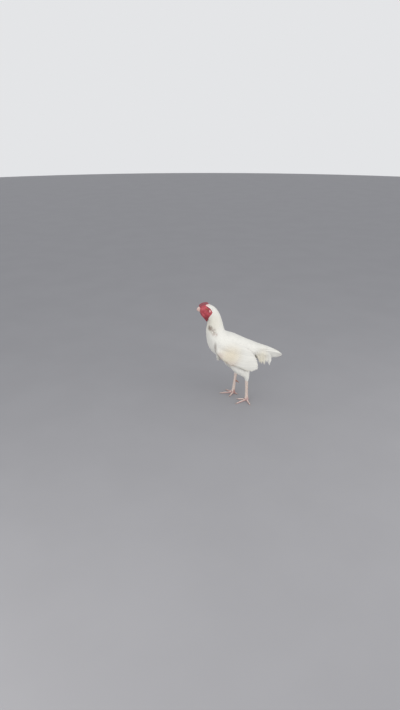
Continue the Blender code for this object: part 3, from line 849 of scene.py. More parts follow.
vaneShapes = {  # along: share of the length of each row, width: share of the full width there
    "body": {
        "along": (0.0, 0.30, 0.58, 0.80, 0.94, 1.0),
        "width": (0.25, 0.72, 1.0, 0.92, 0.58, 0.16),
        "across": (-1.0, -0.5, 0.0, 0.5, 1.0),
        "thickness": 0.00030, "shaft": 0.00006, "edgeShade": 0.04,
    },
    "small": {
        "along": (0.0, 0.40, 0.80, 1.0),
        "width": (0.30, 1.0, 0.80, 0.20),
        "across": (-1.0, 0.0, 1.0),
        "thickness": 0.00035, "shaft": 0.00008, "edgeShade": 0.0,
    },
    "lance": {
        "along": (0.0, 0.25, 0.50, 0.72, 0.90, 1.0),
        "width": (0.35, 0.90, 1.0, 0.80, 0.42, 0.06),
        "across": (-1.0, 0.0, 1.0),
        "thickness": 0.00035, "shaft": 0.00010, "edgeShade": 0.02,
    },
    "tuft": {
        "along": (0.0, 0.22, 0.46, 0.68, 0.88, 1.0),
        "width": (0.12, 0.62, 1.0, 0.86, 0.46, 0.06),
        "across": (-1.0, 0.0, 1.0),
        "thickness": 0.00035, "shaft": 0.00008, "edgeShade": 0.0,
    },
    "flight": {
        "along": (0.0, 0.15, 0.32, 0.50, 0.68, 0.82, 0.92, 0.975, 1.0),
        "width": (0.30, 0.72, 0.94, 1.0, 1.0, 0.96, 0.80, 0.50, 0.14),
        "across": (-1.0, -0.66, -0.33, 0.0, 0.33, 0.66, 1.0),
        "thickness": 0.00045, "shaft": 0.00025, "edgeShade": 0.10,
    },
    "hanging": {
        "along": (0.0, 0.07, 0.16, 0.32, 0.48, 0.63, 0.78, 0.91, 1.0),
        "width": (0.20, 0.95, 1.10, 1.12, 1.05, 0.88, 0.60, 0.28, 0.04),
        "across": (-1.0, -0.5, 0.0, 0.5, 1.0),
        "thickness": 0.00035, "shaft": 0.00010, "edgeShade": 0.06,
    },
    "scute": {
        "along": (0.0, 0.30, 0.75, 0.93, 1.0),
        "width": (0.80, 0.95, 1.0, 0.86, 0.50),
        "across": (-1.0, -0.5, 0.0, 0.5, 1.0),
        "thickness": 0.00060, "shaft": 0.0, "edgeShade": 0.0,
    },
}
for vaneLook in vaneShapes.values():
    for what in ("along", "width", "across"):
        vaneLook[what] = np.array(vaneLook[what])

patchSize = 0.003  # the side of each vane's patch on the baked map, as a share of the map
# Each vane's random tone, and the painted shade towards its root.
vaneToneAndShade = {"spread": 0.018, "range": (0.9, 1.06), "root": 0.90}


def vaneFaces(rows, columns):  # quads of a closed vane: a top grid, and an under grid that shares its edge
    top = np.arange(rows * columns).reshape(rows, columns)
    under = top.copy()
    under[1:-1, 1:-1] = rows * columns + np.arange((rows - 2) * (columns - 2)).reshape(rows - 2, -1)
    faces = []
    for grid, order in ((top, (0, 1, 2, 3)), (under, (3, 2, 1, 0))):
        corners = (grid[:-1, :-1], grid[:-1, 1:], grid[1:, 1:], grid[1:, :-1])
        faces.append(np.stack([corners[k].ravel() for k in order], axis=1))
    return np.concatenate(faces)


def vaneRows(upper, under):  # vane by vane, the rows of its top grid and of the inside of its under grid
    inside = under[:, 1:-1, 1:-1]
    grids = [grid.reshape(len(grid), -1, grid.shape[-1]) for grid in (upper, inside)]
    return np.concatenate(grids, axis=1).reshape(-1, upper.shape[-1])


def shapeVanes(shape, spine, aside, ups, sag, widths, lengths, heights, curl=0.0, tones=None):
    look = vaneShapes[shape]
    along, across = look["along"], look["across"]
    count, rows, columns = len(spine), len(along), len(across)
    widths, lengths, low, high = (
        np.broadcast_to(values, count)[:, None] for values in (widths, lengths, *heights)
    )
    half = widths / 2 * look["width"]
    spread = half[..., None] * across
    rise = low + (high - low) * along**1.1 + np.asarray(curl)[..., None] * along**3
    dip = np.where(across < 0, sag[..., :1], sag[..., 1:]) * across**2
    lift = rise[..., None] + dip + (half * 0.10)[..., None] * (1 - across**2)
    ups = ups[:, :, None]
    base = spine[:, :, None] + aside[:, :, None] * spread[..., None] + ups * lift[..., None]
    body = np.sqrt(1 - across**2) * look["thickness"] / 2
    upper = base + ups * (body + look["shaft"] * (np.abs(across) < 0.1))[:, None]
    rim = np.ones((rows, columns), bool)
    rim[1:-1, 1:-1] = False
    upper[:, rim] = base[:, rim]
    vane = np.stack(np.broadcast_arrays(spread, (lengths * along)[..., None]), axis=-1) * 1000
    patch = np.stack(np.broadcast_arrays(across / 2, (along - 0.5)[:, None]), axis=-1) * patchSize
    bake = patch + skinUv(spine[:, 0])[:, None, None]
    tones = chance.normal(1.0, vaneToneAndShade["spread"], count) if tones is None else tones
    root = vaneToneAndShade["root"]
    # Painted shade: each vane darker towards its root and its edges, where other vanes lie over it.
    shades = (root + (1 - root) * along**0.5)[:, None] * (1 - look["edgeShade"] * across**2)
    toneAndShade = (shades * np.clip(tones, *vaneToneAndShade["range"])[:, None, None])[..., None]
    rims = np.broadcast_to(rim[..., None], (count, rows, columns, 1))
    size = rows * columns + (rows - 2) * (columns - 2)
    return {
        "points": vaneRows(upper, base - ups * body[:, None]),
        "faces": (vaneFaces(rows, columns) + np.arange(count)[:, None, None] * size).reshape(-1, 4),
        "rim": vaneRows(rims, rims),
        "vane": vaneRows(vane, vane),
        "OFBake": vaneRows(bake, bake),
        "toneAndShade": vaneRows(toneAndShade, toneAndShade),
    }


def buildCoat(name, batches, material, nodes=()):
    parts = {key: [] for key in batches[0]}
    start = 0
    for batch in batches:
        for key, rows in batch.items():
            parts[key].append(rows + start if key == "faces" else rows)
        start += len(batch["points"])
    parts = {key: np.concatenate(rows) for key, rows in parts.items()}
    corners = parts["faces"].astype(np.int32).ravel()
    mesh = bpy.data.meshes.new(name)
    mesh.vertices.add(start)
    mesh.vertices.foreach_set("co", parts["points"].astype(np.float32).ravel())
    mesh.loops.add(len(corners))
    mesh.loops.foreach_set("vertex_index", corners)
    mesh.polygons.add(len(corners) // 4)
    mesh.polygons.foreach_set("loop_start", np.arange(0, len(corners), 4, dtype=np.int32))
    mesh.update(calc_edges=True)
    for label in ("OFBake", "vane"):
        layer = mesh.uv_layers.new(name=label)
        layer.data.foreach_set("uv", parts[label][corners].astype(np.float32).ravel())
    giveAttribute(mesh, "toneAndShade", parts["toneAndShade"].ravel())
    ends = readRows(mesh.edges, "vertices", 2, np.int32)
    onRim = parts["rim"][ends, 0].all(axis=1)  # a sharp rim keeps the top evenly lit
    mesh.attributes.new("sharp_edge", "BOOLEAN", "EDGE").data.foreach_set("value", onRim)
    finishPiece(newObject(name, mesh), material, nodes)


def edgeSag(shape, spine, aside, widths, drop, least, most):  # how far the two sides bend to what lies below
    half = np.broadcast_to(widths, len(spine))[:, None] / 2 * vaneShapes[shape]["width"]
    sag = []
    for way in (-1, 1):
        edge = spine + aside * half[..., None] * way
        sag.append(np.clip(drop(edge, half), least * half, most * half))
    return np.stack(sag, axis=-1)


def steady(heading):  # a flow that is the same everywhere
    return lambda places: np.broadcast_to(heading, places.shape)


def layFeathers(shape, roots, lengths, widths, heights, flow, splay, stiff, curl=0.0, tones=None):
    # Each spine walks over the outline along the flow, and its sides are bent down on to it.
    lengths = np.broadcast_to(lengths, len(roots))
    spots, ups = nearest(outlineTree, roots)[:2]
    heading = squareTo(flow(spots), ups)
    turn = np.radians(chance.normal(0, splay, len(roots)))[:, None]
    heading = heading * np.cos(turn) + np.cross(ups, heading) * np.sin(turn)
    walked = [(spots, ups, heading)]
    for step in np.diff(vaneShapes[shape]["along"]):
        spots, ups = nearest(outlineTree, spots + heading * (lengths * step)[:, None])[:2]
        heading = squareTo(heading * stiff + flow(spots) * (1 - stiff), ups)
        walked.append((spots, ups, heading))
    spine, normals, headings = (np.stack(rows, axis=1) for rows in zip(*walked))
    normals[:, 1:-1] = unit(normals[:, :-2] + 2 * normals[:, 1:-1] + normals[:, 2:])
    aside = unit(np.cross(headings, normals))

    def drop(edge, _):
        return ((nearest(outlineTree, edge)[0] - edge) * normals).sum(-1)

    sag = edgeSag(shape, spine, aside, widths, drop, -0.6, 0.3)
    return shapeVanes(shape, spine, aside, normals, sag, widths, lengths, heights, curl, tones)


def scatter(spacing):  # places on the outline, no two closer than the spacing there
    a, b, c = outlineTriangles.transpose(1, 0, 2)
    area = np.linalg.norm(np.cross(b - a, c - a), axis=1) / 2
    gaps = spacing(outlineTriangles.mean(axis=1))
    wanted = np.where(np.isfinite(gaps), area / np.where(np.isfinite(gaps), gaps, 1) ** 2, 0)
    count = int(wanted.sum() * 7.7)
    picked = chance.choice(len(area), count, p=wanted / wanted.sum())
    first, second = chance.random((2, count, 1))
    folded = first + second > 1
    first, second = np.where(folded, 1 - first, first), np.where(folded, 1 - second, second)
    a, b, c = a[picked], b[picked], c[picked]
    places = a + (b - a) * first + (c - a) * second
    return places[spreadOut(places, gaps[picked])]


# The lie of the coat

def buildFlow():
    places = [boxPlace("beak_upper", 1.0)] + [nodePoints(node).mean(axis=0) for node in bodyNodes]
    line = curveThrough(places + [boxPlace("tail", 0.0, 0.5, 0.15)], 100)
    thighs = {}
    for side in sides:
        points = nodePoints("thigh_" + side)
        cuts = np.linspace(points[:, 2].max(), points[:, 2].min(), 5)
        middles = [points[np.abs(points[:, 2] - cut) < 0.014].mean(axis=0) for cut in cuts]
        thighs[side] = curveThrough(middles + [soleAt[side]], 40)
    return line, thighs


bodyLine, thighLines = buildFlow()
bodyStations = np.linspace(0, len(bodyNodes) + 1, len(bodyLine))
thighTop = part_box("thigh_left")[1].z
saddleFall = np.array([-0.46, 0.0, -0.86])  # the way the long saddle feathers fall


def alongLine(line, places, reach):
    away = ((places[:, None] - line[None]) ** 2).sum(axis=2)
    weights = np.exp(-(away - away.min(axis=1, keepdims=True)) / (2 * reach**2))
    return weights / weights.sum(axis=1, keepdims=True)


def stationAt(places):  # 0 at the bill, 1 at the head, up to 8 at the tip of the tail
    return alongLine(bodyLine, places, 0.012) @ bodyStations


def bodyFlow(places):
    heading = unit(alongLine(bodyLine, places, 0.030) @ np.gradient(bodyLine, axis=0))
    for side, way in sides.items():
        line = thighLines[side]
        down = unit(alongLine(line, places, 0.020) @ np.gradient(line, axis=0))
        share = 1 - smoothStep(places[:, 2], thighTop - 0.055, thighTop - 0.012)
        share *= smoothStep((places[:, 1] - middleY) * way, 0.004, 0.016)
        heading = unit(heading * (1 - share[:, None]) + down * share[:, None])
    station = stationAt(places)
    falls = smoothStep(station, 5.1, 6.0) * (1 - smoothStep(station, 6.9, 7.4))
    falls *= smoothStep(np.abs(places[:, 1] - middleY), 0.016, 0.040) * 0.85
    return unit(heading * (1 - falls[:, None]) + saddleFall * falls[:, None])


coatSizes = {  # by station from bill to tail, in metres
    "station": (0.4, 1.0, 2.0, 3.0, 4.0, 5.0, 6.0, 7.0, 8.0),
    "length": (0.006, 0.010, 0.027, 0.040, 0.033, 0.029, 0.050, 0.052, 0.040),
    "width": (0.0026, 0.0035, 0.0054, 0.0072, 0.0130, 0.0145, 0.0090, 0.0110, 0.0100),
    "gap": (0.0016, 0.0021, 0.0034, 0.0043, 0.0058, 0.0063, 0.0055, 0.0068, 0.0070),
    "thigh": {"length": 0.021, "width": 0.0105, "gap": 0.0052},
    "least": 0.42,  # the share of the full size that is left at the hock and at the face
}


def coatSize(places, owners, what):
    station, least = stationAt(places), coatSizes["least"]
    size = np.interp(station, coatSizes["station"], coatSizes[what])
    atHock = least + (1 - least) * smoothStep(places[:, 2], hockZ, hockZ + 0.055)
    size = np.where(startsWith(owners, "thigh", "shank", "toe"), coatSizes["thigh"][what] * atHock, size)
    nearFace = least + (1 - least) * smoothStep(fromFaceEdge(places), 0.0, 0.030)
    return size * np.where(station < 3.2, nearFace, 1.0)


def coatSpacing(places):
    owners = ownersOf(places)
    bare = (fromFaceEdge(places) < -0.0006) | (places[:, 2] < hockZ - 0.003)
    bare |= startsWith(owners, "wing", "shank", "toe", "comb", "wattle", "earlobe")
    return np.where(bare, np.inf, coatSize(places, owners, "gap"))


tuftLook = {  # loose tufts under the front of the keel
    "tufts": [  # place from the eyes, spread, count and length
        ((-0.0600, 0.0300, -0.2790), (0.0038, 0.0036, 0.0026), 84, (0.026, 0.035)),
        ((-0.0740, 0.0260, -0.2880), (0.0060, 0.0070, 0.0040), 54, (0.015, 0.023)),
        ((-0.0900, 0.0240, -0.3010), (0.0070, 0.0070, 0.0040), 44, (0.013, 0.020)),
    ],
    "width": 0.0034,
    "heading": (-0.10, 0.04, -0.98),
    "stray": (0.15, 0.15, 0.05),
    "outward": 0.25,
    "rootDepth": 0.0025,
    "rootBack": 0.0030,
    "droop": -0.003,
    "lift": 0.001,
    "curl": 0.002,
}


def growTufts():
    look, along = tuftLook, vaneShapes["tuft"]["along"]
    made = []
    for offset, spread, count, length in look["tufts"]:
        astray = chance.normal(0, 1, (count, 3))
        spots, outward = nearest(outlineTree, eyeMiddle + offset + astray * spread)[:2]
        ahead = np.array(look["heading"]) + chance.normal(0, 1, (count, 3)) * look["stray"]
        ahead = unit(ahead + outward * look["outward"])
        roots = spots - outward * look["rootDepth"] - ahead * look["rootBack"]
        lengths = chance.uniform(*length, count) * np.clip(1.1 - 0.14 * (astray**2).sum(axis=1), 0.5, 1.0)
        drop = np.array([0.0, 0.0, look["droop"]]) * (along**2)[:, None]
        spine = roots[:, None] + ahead[:, None] * (lengths[:, None] * along)[..., None] + drop
        headings = unit(np.gradient(spine, axis=1))
        ups = squareTo(unit(outward[:, None] + chance.normal(0, 0.5, (count, 1, 3))), headings)
        lift = chance.uniform(-look["lift"], look["lift"], count)
        curl = chance.uniform(-look["curl"], look["curl"], count)
        aside = unit(np.cross(headings, ups))
        sag = np.zeros((1, 1, 2))
        made.append(shapeVanes("tuft", spine, aside, ups, sag, look["width"], lengths, (0.0, lift), curl))
    return made


tracts = {  # the station where each tract ends, its vane, the depth of its roots, its material and slot
    "head": (1.35, "small", 0.0006, "hackle", "hackle"),
    "hackle": (3.55, "lance", 0.0012, "hackle", "hackle"),
    "body": (5.55, "body", 0.0016, "body", "plumage"),
    "saddle": (np.inf, "lance", 0.0016, "saddle", "saddle"),
    "thighs": (None, "body", 0.0013, "body", "plumage"),
}


def growCoat():
    roots = scatter(coatSpacing)
    owners, station = ownersOf(roots), stationAt(roots)
    size = {what: coatSize(roots, owners, what) for what in ("length", "width")}
    for what in size:
        size[what] = size[what] * chance.uniform(0.88, 1.12, len(roots))
    onThigh = startsWith(owners, "thigh", "shank", "toe")
    mixed = station + chance.normal(0, 0.12, len(roots))
    made, begin = {}, -np.inf
    for tract, (end, shape, depth, _, _) in tracts.items():
        picked = onThigh if tract == "thighs" else ~onThigh & (mixed >= begin) & (mixed < end)
        begin, count = end, picked.sum()
        low = -depth * (0.25 + 0.75 * smoothStep(fromFaceEdge(roots[picked]), 0.0, 0.012))
        made[tract] = layFeathers(
            shape, roots[picked], size["length"][picked], size["width"][picked],
            (low, chance.uniform(-0.0001, 0.0003, count)),
            bodyFlow, splay=5.0, stiff=0.55, curl=chance.uniform(0, 0.0003, count),
        )
        print(tract, count)
    for tract, (_, _, _, material, slot) in tracts.items():
        buildCoat("coat_" + tract, [made[tract]], materials[material])
        if tract == "body":
            buildCoat("keel_tufts", growTufts(), materials["body"])


growCoat()


# Wings and tail: long vanes laid in rows from the side

def sideFrame(nodes, start, tip):  # a frame in side view, with the lower and the upper edge along it
    ahead = unit(tip - start)
    upward = np.array([ahead[1], -ahead[0]])
    away = nodePoints(*nodes)[:, [0, 2]] - start
    along, height = away @ ahead, away @ upward
    span = (tip - start) @ ahead
    places = np.linspace(0, span, 15)
    near = [np.abs(along - place) < span / 14 for place in places]
    low = np.array([height[pick].min() for pick in near])
    high = np.array([height[pick].max() for pick in near])
    return {"start": start, "ahead": ahead, "upward": upward, "span": span, "edges": (places, low, high)}


def inFrame(form, along, share):  # side-view place at a share of the span and of the height there
    along, share = np.broadcast_arrays(along * form["span"], share)
    places, low, high = form["edges"]
    low, high = (np.interp(along, places, edge) for edge in (low, high))
    height = low + (high - low) * share
    return form["start"] + along[..., None] * form["ahead"] + height[..., None] * form["upward"]


def sideLaid(shape, path, widths, heights, side, mostFall=0.0030, upright=1.2, tree=outlineTree):
    # path: for each vane its root, bend and tip in side view
    way = sides[side]
    t = vaneShapes[shape]["along"][None, :, None]
    root, bend, tip = (np.asarray(place)[:, None] for place in path)
    flat = root * (1 - t) ** 2 + 2 * bend * t * (1 - t) + tip * t**2
    reach = fromSide(tree, flat, way)
    for row in range(1, reach.shape[1]):
        lost = np.isnan(reach[:, row])
        reach[lost, row] = reach[lost, row - 1] - way * 0.0012
    for row in range(reach.shape[1] - 2, -1, -1):
        lost = np.isnan(reach[:, row])
        reach[lost, row] = reach[lost, row + 1]
    for row in range(1, reach.shape[1]):  # no vane dives off an edge on to what lies deeper
        reach[:, row] = way * np.maximum(reach[:, row] * way, reach[:, row - 1] * way - mostFall)
    reach[:, 1:-1] = (reach[:, :-2] + 2 * reach[:, 1:-1] + reach[:, 2:]) / 4
    spine = np.stack([flat[..., 0], reach, flat[..., 1]], axis=-1)
    headings = unit(np.gradient(spine, axis=1))
    lengths = np.linalg.norm(np.diff(spine, axis=1), axis=2).sum(axis=1)
    ups = squareTo(unit(nearest(tree, spine)[1] + np.array([0.0, way, 0.0]) * upright), headings)
    aside = unit(np.cross(headings, ups))

    def drop(edge, half):
        down = (fromSide(tree, edge[..., [0, 2]], way) - edge[..., 1]) * way
        return np.where(np.isnan(down), -0.25 * half, down)

    sag = edgeSag(shape, spine, aside, widths, drop, -0.7, 0.35)
    return shapeVanes(shape, spine, aside, ups, sag, widths, lengths, heights)


def toEdge(tree, starts, aims, side, past):  # the last place on a form in side view, on the way to the aim
    found = []
    for start, aim in zip(starts, aims):
        ahead = unit(aim - start)
        steps = np.arange(0, np.linalg.norm(aim - start) + 0.06, 0.001)
        on = ~np.isnan(fromSide(tree, start + ahead * steps[:, None], sides[side]))
        last = steps[np.flatnonzero(on).max(initial=0)]
        found.append(start + ahead * (last + past))
    return np.array(found)


def rowOf(look):  # the feathers of a row by number, as shares from 0 to 1, and how low and high each lies
    order = np.arange(look["count"])
    low, high, lowStep, highStep = look["heights"]
    return order / (len(order) - 1), (low + lowStep * order, high + highStep * order)


def rowPlaces(form, g, along, alongStep, up, upStep):  # from the first feather's place to the last one's
    return inFrame(form, along + alongStep * g, up + upStep * g)


# For the root, bend and tip of a row's feathers: the first one's share along the form with the step to the
# last, and the same for the share up it. For the heights: the first one's low and high, and their steps.
wingLook = {
    "secondaries": {
        "count": 12, "width": 0.019, "heights": (-0.0014, 0.0004, -0.00006, -0.00017),
        "root": (0.26, 0.08, 0.94, -0.84), "bend": (0.46, 0.22, 0.97, -0.88),
        "tip": (0.62, 0.40, 0.96, -0.24), "bow": 0.8, "past": 0.0010, "stray": (-0.0010, 0.0022),
    },
    "primaries": {
        "count": 5, "width": 0.016, "heights": (-0.0024, -0.0014, 0.0, -0.00015),
        "root": (0.46, 0.02, 0.26, -0.17), "bend": (0.72, 0.02, 0.30, -0.20),
        "tip": (1.03, -0.02, 0.90, -0.80), "past": 0.0022,
    },
    "greater": {
        "count": 12, "width": 0.0165, "heights": (-0.0008, 0.0003, 0.0, -0.00004), "ends": (0.20, 0.45),
    },
    "median": {
        "count": 13, "width": 0.0150, "heights": (-0.0007, 0.0005, 0.0, -0.00004), "ends": (0.11, 0.31),
    },
    "lesser": {
        "length": (0.012, 0.021), "width": (0.0085, 0.0125), "gap": (0.0040, 0.0056), "upTo": 0.24,
        "heights": (-0.0008, 0.0003),
    },
    "lining": {
        "gap": 0.0072, "leastRoom": 0.008, "length": (0, 0.024), "width": (0.006, 0.013),
        "heights": (-0.0012, -0.0002),
    },
}


def growWing(side):
    inner, outer = "wing_" + side, "wing_flight_" + side
    start, tip = nodePoints(inner), nodePoints(outer)
    start, tip = start[start[:, 0].argmax()][[0, 2]], tip[tip[:, 0].argmin()][[0, 2]]
    wing = sideFrame([inner, outer], start, tip)
    edgeTree = treeOf(cadMeshes([inner, outer]))
    flights = []
    for look in (wingLook["secondaries"], wingLook["primaries"]):
        g, heights = rowOf(look)
        along, alongStep, up, upStep = look["tip"]
        bends = rowPlaces(wing, g, *look["bend"])
        aims = inFrame(wing, along + alongStep * g ** look.get("bow", 1), up + upStep * g)
        tips = toEdge(edgeTree, bends, aims, side, look["past"])
        if "stray" in look:
            tips = tips + unit(aims - bends) * chance.uniform(*look["stray"], len(g))[:, None]
        path = (rowPlaces(wing, g, *look["root"]), bends, tips)
        flights.append(sideLaid("flight", path, look["width"], heights, side))
    rows = []
    for look in (wingLook["greater"], wingLook["median"]):
        g, heights = rowOf(look)
        share = 0.95 - 0.88 * g
        begin, end = look["ends"][0] + 0.05 * g, look["ends"][1] + 0.05 * np.sin(np.pi * g)
        end = end + chance.uniform(-0.012, 0.012, len(g))
        places = (begin, share), ((begin + end) / 2, share - 0.01), (end, share - 0.04)
        path = [inFrame(wing, *place) for place in places]
        rows.append(sideLaid("body", path, look["width"], heights, side))
    look, liningLook = wingLook["lesser"], wingLook["lining"]
    heading = steady([wing["ahead"][0], 0, wing["ahead"][1]])

    def alongWing(places):
        return (places[:, [0, 2]] - start) @ wing["ahead"] / wing["span"]

    def spacing(places):
        along = alongWing(places)
        picked = (ownersOf(places) == inner) & (along < look["upTo"])
        return np.where(picked, np.interp(along, (0, look["upTo"]), look["gap"]), np.inf)

    def liningSpacing(places):
        owners = ownersOf(places)
        inward = nearest(outlineTree, places)[1][:, 1] * sides[side] < 0.10
        picked = (owners == inner) & (alongWing(places) >= look["upTo"]) | (owners == outer)
        return np.where(inward & picked, liningLook["gap"], np.inf)

    roots = scatter(spacing)
    length, width = (
        np.interp(alongWing(roots), (0, look["upTo"]), look[what]) for what in ("length", "width")
    )
    lesser = layFeathers("body", roots, length, width, look["heights"], heading, splay=6.0, stiff=0.4)
    look, lined = liningLook, scatter(liningSpacing)
    flat = lined[:, [0, 2]]
    room = np.linalg.norm(toEdge(edgeTree, flat, flat + wing["ahead"] * 0.02, side, 0.0) - flat, axis=1)
    lined, room = lined[room > look["leastRoom"]], room[room > look["leastRoom"]]
    length, width = np.clip(room - 0.001, *look["length"]), np.clip(room * 0.6, *look["width"])
    lining = layFeathers("body", lined, length, width, look["heights"], heading, splay=4.0, stiff=0.6)
    print("wing", side, len(roots), "lining", len(lined))
    buildCoat("wing_flight_vanes_" + side, flights[::-1], materials["flight"])
    buildCoat("wing_coverts_" + side, [*rows, lesser, lining], materials["body"])


for side in sides:
    growWing(side)

tailLook = {
    "main": {
        "count": 7, "width": 0.021, "heights": (-0.0018, 0.0004, 0.0, -0.0002), "upright": 4.0,
        "root": (-0.12, 0.05, 0.84, -0.70), "bend": (0.42, -0.05, 0.82, -0.84),
        "tip": (0.96, -0.26, 0.74, -0.60), "stray": 0.02, "mostFall": 0.0050,
    },
    "sickles": {
        "count": 4, "width": 0.0135, "heights": (-0.0012, 0.0006, 0.0, -0.0002), "upright": 3.0,
        "root": (-0.16, 0.02, 0.97, -0.10), "bend": (0.40, -0.03, 0.99, -0.10),
        "tip": (0.955, -0.13, 0.92, -0.20), "mostFall": 0.0050,
    },
    "coverts": {
        "count": 16, "width": 0.0105, "heights": (-0.0008, 0.0006, 0.0, 0.0), "mostFall": 0.012,
        "reach": (0.30, 0.62), "root": (-0.22, 0.0, 0.95, -0.85),
    },
}


def growTail():
    start, tip = boxPlace("tail", 1.0, 0.5, 0.60)[[0, 2]], boxPlace("tail", 0.0, 0.5, 0.12)[[0, 2]]
    tail = sideFrame(["tail"], start, tip)
    batches = []
    for side in sides:
        for look in (tailLook["main"], tailLook["sickles"]):
            g, heights = rowOf(look)
            along, alongStep, up, upStep = look["tip"]
            along = along + alongStep * g
            if "stray" in look:
                along = along + chance.uniform(-look["stray"], look["stray"], len(g))
            path = [rowPlaces(tail, g, *look["root"]), rowPlaces(tail, g, *look["bend"])]
            path.append(inFrame(tail, along, up + upStep * g))
            batches.append(sideLaid(
                "flight", path, look["width"], heights, side, look["mostFall"], look["upright"]
            ))
        look = tailLook["coverts"]
        g, heights = rowOf(look)
        reach = chance.uniform(*look["reach"], len(g)) * (1 - 0.35 * g)
        path = [rowPlaces(tail, g, *look["root"])]
        path += [inFrame(tail, reach * 0.35, 0.95 - 0.88 * g), inFrame(tail, reach, 0.93 - 0.90 * g)]
        batches.append(sideLaid("lance", path, look["width"], heights, side, look["mostFall"]))
    buildCoat("tail_vanes", batches, materials["saddle"])


growTail()

hangingLook = {  # each long feather: its place across, length, width and layer, as shares and metres
    "strands": (
        (0.00, 1.00, 0.54, 0.0), (-0.92, 0.80, 0.40, 0.0003), (0.92, 0.76, 0.40, 0.0003),
        (-0.66, 0.90, 0.38, 0.0006), (0.64, 0.94, 0.38, 0.0006), (-0.34, 0.97, 0.34, 0.0009),
        (0.34, 0.86, 0.34, 0.0009), (0.10, 0.92, 0.32, 0.0012), (-0.12, 0.66, 0.34, 0.0015),
    ),
    "ahead": ((1.40, 0.90, 0.38, 0.0002), (1.80, 0.80, 0.36, 0.0005), (1.60, 0.72, 0.34, 0.0008)),
    "places": ("front", "middle", "short", "rear"),
    "rows": 9,
    "steps": 60,
    "rootDepth": 0.0018,  # how far the roots go in under the coat
}


def nodeLine(points, rows):  # the middle line of a long thin node from its top to its tip, and its width
    cuts = np.linspace(points[:, 2].max() - 0.001, points[:, 2].min() + 0.001, rows)
    middles = []
    for cut in cuts:
        slab = points[np.abs(points[:, 2] - cut) < 0.009]
        middles.append((slab.min(axis=0) + slab.max(axis=0)) / 2)
        middles[-1][2] = cut
    middles = np.array(middles)
    middles[-1, [0, 2]] = points[points[:, 2].argmin()][[0, 2]]
    headings = unit(np.gradient(middles, axis=0))
    across = np.stack([-headings[:, 2], np.zeros(rows), headings[:, 0]], axis=1)
    halves = []
    for middle, heading, aside in zip(middles, headings, across):
        away = points - middle
        near = (np.abs(away @ heading) < 0.010) & (np.abs(away @ aside) < 0.016)
        halves.append(np.abs(away[near] @ aside).max(initial=0))
    return middles, across, 2 * max(halves[rows // 4 : rows // 2 + 2])


def growHangingFeathers(side, place):  # long saddle feathers that hang clear between the wing and the tail
    look, way = hangingLook, sides[side]
    node = f"saddle_feather_{place}_{side}"
    middles, across, full = nodeLine(nodePoints(node), look["rows"])
    line, slant = (curveThrough(rows, look["steps"] + 1) for rows in (middles, across))
    batches = []
    for shift, reach, share, layer in look["strands"] + look["ahead"] * (place == "front"):
        rows = vaneShapes["hanging"]["along"] * reach
        steps = np.round(rows * look["steps"]).astype(int)
        width = full * share
        aim = (full - width) / 2 * shift * (1 - rows**2) + full * 0.30 * shift * rows**2
        spine = line[steps] + slant[steps] * aim[:, None]
        spine[:, 1] -= way * look["rootDepth"] * (1 - smoothStep(rows, 0.0, 0.10))
        headings = unit(np.gradient(spine, axis=0))
        ups = squareTo(np.broadcast_to([0.0, way, 0.0], spine.shape), headings)
        aside = unit(np.cross(headings, ups))
        length = np.linalg.norm(np.diff(spine, axis=0), axis=1).sum()
        batches.append(shapeVanes(
            "hanging", spine[None], aside[None], ups[None], np.zeros((1, 1, 2)), width, length,
            (layer - 0.0004, layer + 0.0001),
        ))
    buildCoat(f"hanging_feather_{place}_{side}", batches, materials["saddle"], [node])


for side in sides:
    for place in hangingLook["places"]:
        growHangingFeathers(side, place)

curtainLook = {
    "count": 30, "from": -0.062, "to": -0.146, "length": (0.044, 0.064), "width": 0.0098,
    "bend": (-0.27, -0.42), "tip": (-0.34, -0.94),  # the way from the root, as shares of the length
}


def growCurtain():  # long saddle feathers over the roots of the hanging ones and the base of the tail
    look = curtainLook
    batches = []
    for side in sides:
        hanging = [f"saddle_feather_{place}_{side}" for place in hangingLook["places"]]
        tree = treeOf(cadMeshes(["rump", "tail", *hanging]))
        g = np.linspace(0, 1, look["count"])
        x = look["from"] + (look["to"] - look["from"]) * g + chance.uniform(-0.0015, 0.0015, len(g))
        tops = [tree.ray_cast((place, middleY, 0.6), (0, 0, -1))[0].z for place in x.tolist()]
        z = np.array(tops) - 0.008 - chance.uniform(0, 0.006, len(g))
        root = np.stack([x, z], axis=1)
        length = chance.uniform(*look["length"], len(g))[:, None]
        path = (root, root + np.array(look["bend"]) * length, root + np.array(look["tip"]) * length)
        order = chance.permutation(len(g))
        heights = (-0.0006, 0.0014 + 0.00008 * order)
        batches.append(sideLaid("hanging", path, look["width"], heights, side, mostFall=0.0045, tree=tree))
    buildCoat("saddle_curtain", batches, materials["saddle"])


growCurtain()
print("feathers made")


# Scutes on the shanks and toes

scuteLook = {
    "shank": {"step": 0.0046, "length": 0.0062, "width": 0.0088, "turn": math.radians(30)},
    "toe": {"step": 0.0036, "length": 0.0052, "width": 0.0064, "narrow": (1.05, 0.72)},
}


def castInward(places, way):
    found = []
    for place in places.tolist():
        hit = outlineTree.ray_cast(place, way.tolist(), 0.1)[0]
        found.append(tuple(hit) if hit else place)
    return np.array(found)


def layScutes(roots, length, widths, heights, heading):
    tones = chance.normal(1.0, 0.03, len(roots))
    return layFeathers("scute", roots, length, widths, heights, steady(heading), 1.0, 0.3, tones=tones)


